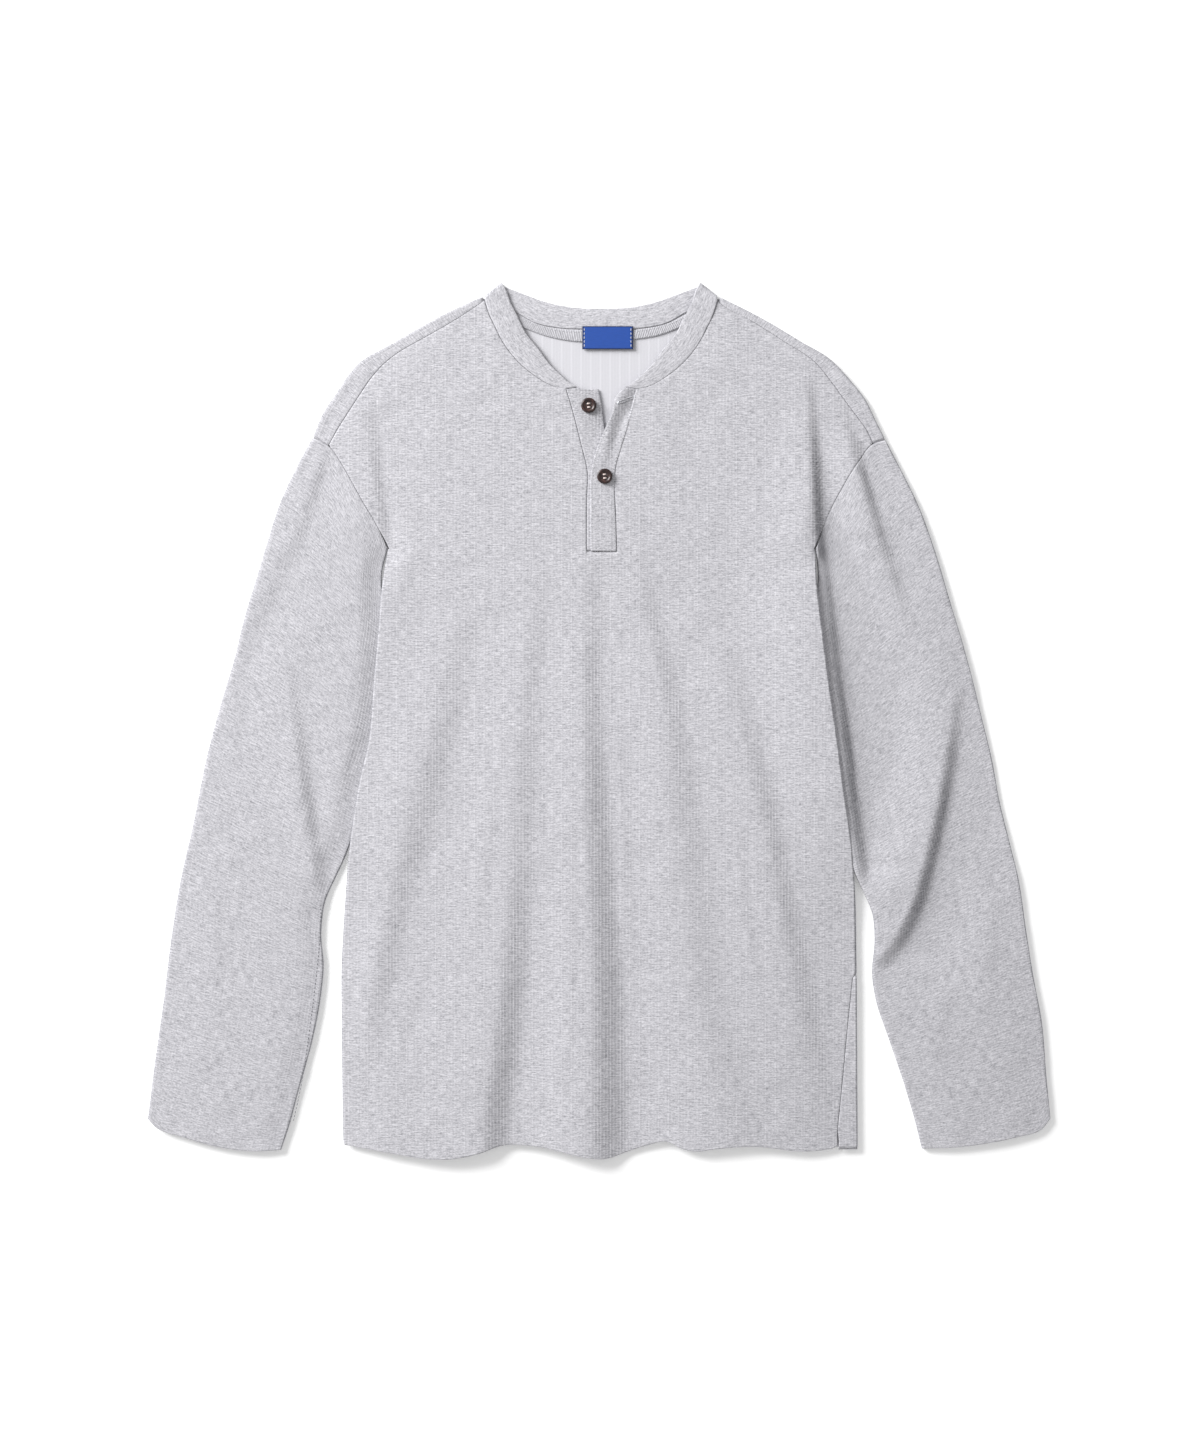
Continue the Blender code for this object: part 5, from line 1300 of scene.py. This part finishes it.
def tape_patch(sizes):
    """Tape on the back panel under the neckband's seam, a little crowned between its edges."""
    steps, share = lines(*TAPE_LINES), lines(*TAPE_ACROSS, start=True, end=True)
    plan = between(trace(TAPE_LOWER, steps)[:, None], trace(TAPE_UPPER, steps)[:, None], share[:, None])
    crown = CROWN * (1 - (2 * share - 1) ** 2)
    grid = lift(plan, sizes.wall + sizes.gap + sizes.trim_wall / 2 + crown)
    return grid, ribbon_map(run_lengths(grid), run_lengths(grid[:, 0]))[..., ::-1]


def label_patch(sizes):
    """Label on the tape: a rectangle, puckered a little where its two ends are sewn."""
    half_x, half_y = LABEL_SIZE[0] / 2, LABEL_SIZE[1] / 2
    x, y = (np.unique(np.concatenate((np.linspace(-half, half, count), (0.3 - half, half - 0.3))))
            for half, count in ((half_x, 48), (half_y, 26)))
    chart = np.stack(np.meshgrid(x, y), axis=-1)
    sewn = bell(np.abs(chart[..., 0]) - half_x + LABEL_INSET, SEWN_REACH)
    billow = 0.10 * (1 - (chart[..., 0] / half_x) ** 2) * (0.6 + 0.4 * np.cos(chart[..., 1] / half_y * 1.4))
    z = sizes.wall + 2 * sizes.gap + 1.5 * sizes.trim_wall + billow - 0.1 * sewn
    return lift(chart + LABEL_CENTRE, z), chart


def stitches(paths, height, length, pitch, width):
    """Rows of thread loops: each is a small spindle, a sine bulge along its length on a hexagon,
    laid along the path at even pitch and sunk at both ends."""
    rings, corners = np.linspace(0, 1, 6), around(6)
    size, cap = len(rings) * len(corners), np.array([[0, 5, 4, 3], [0, 3, 2, 1]])
    block = np.concatenate((quads(len(rings), len(corners), ring=True)[:, ::-1], cap[:, ::-1],
                            cap + size - len(corners)))
    bulge = (0.25 + 0.75 * np.sin(math.pi * rings) ** 0.6)[:, None] * width / 2
    arch = (np.sin(math.pi * rings) ** 0.7 - 0.55) * width * 0.9
    points, faces, count = [], [], 0
    for path in paths:
        path = np.asarray(path, float)
        run = run_lengths(path)
        loops = np.arange(max(1, int((run[-1] - length) / pitch) + 1))
        at = (run[-1] - length + pitch * (2 * loops - loops[-1]))[:, None] / 2 + rings * length
        centre = np.stack([np.interp(at, run, path[:, axis]) for axis in (0, 1)], axis=-1)
        tangent = centre[:, -1] - centre[:, 0]
        normal = left_of(tangent / np.linalg.norm(tangent, axis=1)[:, None])
        side = normal[:, None, None] * (bulge * np.cos(corners))[..., None]
        z = height(centre.reshape(-1, 2)).reshape(centre.shape[:2]) + arch
        points.append(lift(centre[:, :, None] + side, z[..., None] + bulge * np.sin(corners)).reshape(-1, 3))
        faces.append((block + (count + size * loops)[:, None, None]).reshape(-1, 4))
        count += size * len(loops)
    return np.concatenate(points) + CENTRING, np.concatenate(faces)


def add_stitches(name, paths, height, material, sizes, length=None, pitch=None, width=None):
    """One piece of sewing along paths on a surface."""
    length = length or sizes.stitch
    points, faces = stitches(paths, height, length, pitch or length * 1.25, width or sizes.thread)
    mesh = mesh_from(name, points, faces)
    clean(mesh)
    return add_piece(name, mesh, material)


# Buttons -----------------------------------------------------------------------------
HOLES = HOLE_DISTANCE * circle(np.radians(HOLE_ANGLE + 90 * np.arange(4)))


def button_mesh(name, seat, sizes):
    """Turned button: a profile carried round its axis, with a rounded rim and a dished middle,
    and four holes cut through it."""
    r = sizes.button / 2
    rim = np.array(BUTTON_PROFILE) * (-1, 1) + (r, 0)
    profile = trace(np.concatenate((((0, 0),), rim, ((0, DISH_HEIGHT),))), np.linspace(0, 1, 44))
    profile[:, 0] = np.clip(profile[:, 0], 0.0, r)
    grid = lift(profile[:, None, :1] * circle(around(72)), profile[:, 1:])
    mesh = mesh_from(name, grid.reshape(-1, 3) + seat, quads(*grid.shape[:2], ring=True))
    clean(mesh, BUTTON_MERGE, SLIVER)
    drill = bpy.data.meshes.new("drill")
    bm = bmesh.new()
    for hole in HOLES:
        cone = bmesh.ops.create_cone(bm, cap_ends=True, segments=28, radius1=HOLE_RADIUS * MM,
                                     radius2=HOLE_RADIUS * MM, depth=2 * r * MM)
        bmesh.ops.translate(bm, verts=cone["verts"], vec=(seat + (*hole, 0)) * MM)
    bm.to_mesh(drill)
    bm.free()
    body, cutter = add_object(name, mesh), add_object("drill", drill)
    cut = body.modifiers.new("holes", "BOOLEAN")
    cut.operation = "DIFFERENCE"
    cut.solver = "EXACT"
    cut.object = cutter
    shaped = bpy.data.meshes.new_from_object(body.evaluated_get(bpy.context.evaluated_depsgraph_get()))
    for made in (mesh, drill):
        bpy.data.meshes.remove(made)
    shaped.name = name
    shaped.shade_smooth()
    shaped.set_sharp_from_angle(angle=math.radians(SHARP_ANGLE))
    return shaped


def button_threads(seat):
    """Two bars of thread between the holes: arcs that rise from one hole and sink in the next."""
    turn, arc = around(10), np.linspace(0, 1, 15)
    height = 0.3 + 1.7 * np.sin(math.pi * arc)[:, None] ** 0.35
    points, faces = [], []
    for start, end in (HOLES[:2], HOLES[2:]):
        normal = left_of((end - start) / np.linalg.norm(end - start))
        for strand in STRANDS:
            plan = between(start, end, arc[:, None]) + normal * strand
            side = STRAND_RADIUS * np.cos(turn)[:, None] * normal
            grid = lift(plan[:, None] + side, height + STRAND_RADIUS * np.sin(turn))
            faces.append(quads(*grid.shape[:2], ring=True) + len(points) * len(arc) * len(turn))
            points.append(grid.reshape(-1, 3) + seat)
    return np.concatenate(points), np.concatenate(faces)


def button_seat(name, surface):
    """Centre of a button's underside: over the middle of its solid, just clear of the cloth below."""
    low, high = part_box(name)
    spot = np.array(((low.x + high.x) / 2, (low.y + high.y) / 2, 0)) / MM - CENTRING
    round_it = spot[:2] + BUTTON_FOOT * circle(around(12))
    return spot + CENTRING + (0, 0, surface(round_it).max() + BUTTON_CLEAR)


# Operators -----------------------------------------------------------------------------
def settings(context):
    """The shirt's sizes and colours."""
    return context.scene.henley_sizes, context.scene.henley_colours


def once(make, name, *values, **choices):
    """The named material, made at its first use."""
    return bpy.data.materials.get(name) or make(name, *values, **choices)


class HENLEY_OT_body(bpy.types.Operator):
    """Front and back panels, from their cut edges, folds and rolled sides"""
    bl_idname = "henley.body"
    bl_label = "Body Panels"

    def execute(self, context):
        sizes, colours = settings(context)
        inside = once(plain_inside, "knit_inside", colours)
        face = once(heather_knit, "knit_face", colours)
        front = add_cloth("front", front_patches(sizes), sizes.wall, (face, inside))
        back = add_cloth("back", back_patches(sizes), sizes.wall, (face, inside))
        return {"FINISHED"}


class HENLEY_OT_sleeves(bpy.types.Operator):
    """Both sleeves, as rings from the armhole to the cuff"""
    bl_idname = "henley.sleeves"
    bl_label = "Sleeves"

    def execute(self, context):
        sizes, colours = settings(context)
        inside = once(plain_inside, "knit_inside", colours)
        # shade=0.022 is painted shade: both sleeves a little darker, for the key light's falloff across them
        face = once(heather_knit, "knit_sleeve", colours, seed=31.0, ribs=0.7, shade=0.022)
        for side, name in ((LEFT, "sleeve_left"), (RIGHT, "sleeve_right")):
            piece = add_cloth(name, [sleeve_patch(side, sizes)], sizes.wall, (face, inside), ring=True)
        # near-black stitches along the seam: real sewing, their darkness partly painted shade in the seam
        seam = trace(SLEEVE_SEAM, np.linspace(0, 1, 120))
        thread = once(thread_finish, "thread_dark", SEAM_SHADE_THREAD)
        add_stitches("sleeve_seam_stitches", [seam],
                     lambda xy: sleeve_height(xy) + sizes.wall / 2 - SEAM_SINK, thread,
                     sizes, width=0.5)
        return {"FINISHED"}


class HENLEY_OT_neckband(bpy.types.Operator):
    """Neckband, from placket top over both shoulders"""
    bl_idname = "henley.neckband"
    bl_label = "Neckband"

    def execute(self, context):
        sizes, colours = settings(context)
        face = once(heather_knit, "knit_band", colours, streak=(6.0, 1.3), ribs=0.35, shade=-0.03, seed=57.0)
        piece = add_cloth("neckband", [neckband_patch(sizes)], sizes.band_wall, (face,),
                          thinning=BAND_THINNING)
        return {"FINISHED"}


class HENLEY_OT_placket(bpy.types.Operator):
    """Placket's under piece and fly, their stitching and the upper buttonhole"""
    bl_idname = "henley.placket"
    bl_label = "Placket"

    def execute(self, context):
        sizes, colours = settings(context)
        face = once(heather_knit, "knit_placket", colours, streak=(3.6, 1.2), ribs=0.8, seed=83.0)
        under, fly = (add_cloth(name, [patch(sizes)], sizes.placket_wall, (face,))
                      for name, patch in (("placket_under", under_patch), ("placket_upper", fly_patch)))
        thread = once(thread_finish, "thread_grey", colours.thread)
        add_stitches("fly_stitches", fly_stitch_lines(), lambda xy: fly_top(xy, sizes) - THREAD_SINK, thread,
                     sizes)
        add_stitches("under_stitches", [under_stitch_line(sizes)],
                     lambda xy: under_top(xy, sizes) - THREAD_SINK, thread, sizes)
        bars, ends = buttonhole_bars()
        add_stitches("buttonhole_stitches", bars, lambda xy: fly_top(xy, sizes) + BAR_RISE, thread,
                     sizes, length=1.1, pitch=2.0, width=0.4)
        add_stitches("buttonhole_ends", ends, lambda xy: fly_top(xy, sizes) + BAR_END_RISE,
                     once(thread_finish, "thread_white", WHITE_THREAD), sizes,
                     length=2.5, pitch=3.0, width=0.8)
        return {"FINISHED"}


class HENLEY_OT_neck_trim(bpy.types.Operator):
    """Neck tape, blank woven label and the stitching of both"""
    bl_idname = "henley.neck_trim"
    bl_label = "Tape and Label"

    def execute(self, context):
        sizes, colours = settings(context)
        tape = add_cloth("neck_tape", [tape_patch(sizes)], sizes.trim_wall,
                         (once(ribbed_tape, "knit_tape", colours),))
        label = add_cloth("label", [label_patch(sizes)], sizes.trim_wall,
                          (once(woven_label, "label_weave", colours.label),))
        steps = np.linspace(0.01, 0.99, 80)
        lower, upper = trace(TAPE_LOWER, steps), trace(TAPE_UPPER, steps)
        rows = [between(lower, upper, share) for share in TAPE_ROWS]
        top = sizes.wall + sizes.gap + sizes.trim_wall
        free = [row[side * (row[:, 0] - LABEL_CENTRE[0]) > LABEL_SIZE[0] / 2 + 1] for row in rows
                for side in (-1, 1)]
        add_stitches("tape_stitches", free, lambda xy: np.full(len(xy), top),
                     once(thread_finish, "thread_grey", colours.thread), sizes)
        inset, tall = LABEL_SIZE[0] / 2 - LABEL_INSET, LABEL_SIZE[1] / 2 - LABEL_MARGIN
        ends = [np.array(((side * inset, -tall), (side * inset, tall))) + LABEL_CENTRE for side in (-1, 1)]
        face = sizes.wall + 2 * sizes.gap + 2 * sizes.trim_wall + 0.02
        white = once(thread_finish, "thread_white", WHITE_THREAD)
        add_stitches("label_stitches", ends, lambda xy: np.full(len(xy), face), white, sizes,
                     length=2.5, pitch=3.3, width=0.5)
        return {"FINISHED"}


class HENLEY_OT_buttons(bpy.types.Operator):
    """Two four-hole buttons and the thread that holds them"""
    bl_idname = "henley.buttons"
    bl_label = "Buttons"

    def execute(self, context):
        sizes, colours = settings(context)
        thread = once(thread_finish, "thread_beige", BEIGE_THREAD)
        for seed, (name, top) in enumerate((("button_upper", under_top), ("button_lower", fly_top))):
            seat = button_seat(name, lambda xy: top(xy, sizes))
            horn = horn_finish(f"horn_{name}", colours.button, 3.0 + 11.0 * seed, seat, sizes.button / 2)
            add_piece(f"{name}_turned", button_mesh(name, seat, sizes), horn, (name,))
            points, faces = button_threads(seat)
            add_piece(f"{name}_thread", mesh_from(f"{name}_thread", points, faces), thread)
        return {"FINISHED"}


class HENLEY_OT_stage(bpy.types.Operator):
    """Pale floor, soft studio light and the camera above"""
    bl_idname = "henley.stage"
    bl_label = "Stage"

    def execute(self, context):
        scene, stage = context.scene, context.scene.henley_stage
        square = ((-1, -1), (1, -1), (1, 1), (-1, 1))
        mesh = mesh_from("floor", lift(FLOOR_SPAN * np.array(square), FLOOR_DROP), np.array(((0, 1, 2, 3),)))
        floor = add_object("floor", mesh)
        paper = Finish("floor_paper", 0.95, Base_Color=(*stage.floor, 1.0), Emission_Color=(1.0,) * 4,
                       Emission_Strength=stage.glow)
        mesh.materials.append(paper.material)
        scene.world = bpy.data.worlds.new("studio")
        scene.world.use_nodes = True
        sky = scene.world.node_tree.nodes["Background"].inputs
        sky["Color"].default_value = (1.0, 1.0, 1.0, 1.0)
        sky["Strength"].default_value = stage.sky
        lamp = bpy.data.lights.new("key", "AREA")
        lamp.energy = stage.key
        lamp.shape = "RECTANGLE"
        lamp.size = LAMP_SIZE
        lamp.size_y = LAMP_SIZE
        key = add_object("key", lamp)
        key.location = LAMP_PLACE
        key.rotation_euler = (-key.location.normalized()).to_track_quat("-Z", "Y").to_euler()
        lens = bpy.data.cameras.new("camera")
        lens.lens = stage.lens
        lens.sensor_width = SENSOR
        lens.clip_end = FAR
        camera = add_object("camera", lens)
        camera.location = np.array(CAMERA_AIM) + (0, 0, stage.view * stage.lens / SENSOR)
        scene.camera = camera
        scene.view_settings.view_transform = "Standard"
        return {"FINISHED"}


class HENLEY_PT_panel(bpy.types.Panel):
    """The shirt's pieces, one button each"""
    bl_label = "Henley Shirt"
    bl_space_type = "VIEW_3D"
    bl_region_type = "UI"
    bl_category = "Henley"

    def draw(self, context):
        for operator in OPERATORS:
            self.layout.operator(operator.bl_idname)
        for group in (context.scene.henley_sizes, context.scene.henley_colours, context.scene.henley_stage):
            box = self.layout.box()
            for name in group.__annotations__:
                box.prop(group, name)


GROUPS = {"henley_sizes": HenleySizes, "henley_colours": HenleyColours, "henley_stage": HenleyStage}
OPERATORS = (HENLEY_OT_body, HENLEY_OT_sleeves, HENLEY_OT_neckband, HENLEY_OT_placket,
             HENLEY_OT_neck_trim, HENLEY_OT_buttons, HENLEY_OT_stage)


def register():
    """Make the sizes, colours, operators and panel known to Blender."""
    for kind in (*GROUPS.values(), *OPERATORS, HENLEY_PT_panel):
        bpy.utils.register_class(kind)
    for name, kind in GROUPS.items():
        setattr(bpy.types.Scene, name, bpy.props.PointerProperty(type=kind))


def unregister():
    """Take all of them back."""
    for name in GROUPS:
        delattr(bpy.types.Scene, name)
    for kind in reversed((*GROUPS.values(), *OPERATORS, HENLEY_PT_panel)):
        bpy.utils.unregister_class(kind)


def main():
    """Make every piece and the stage."""
    register()
    for name in ("body", "sleeves", "neckband", "placket", "neck_trim", "buttons", "stage"):
        getattr(bpy.ops.henley, name)()


if __name__ == "__main__":
    main()
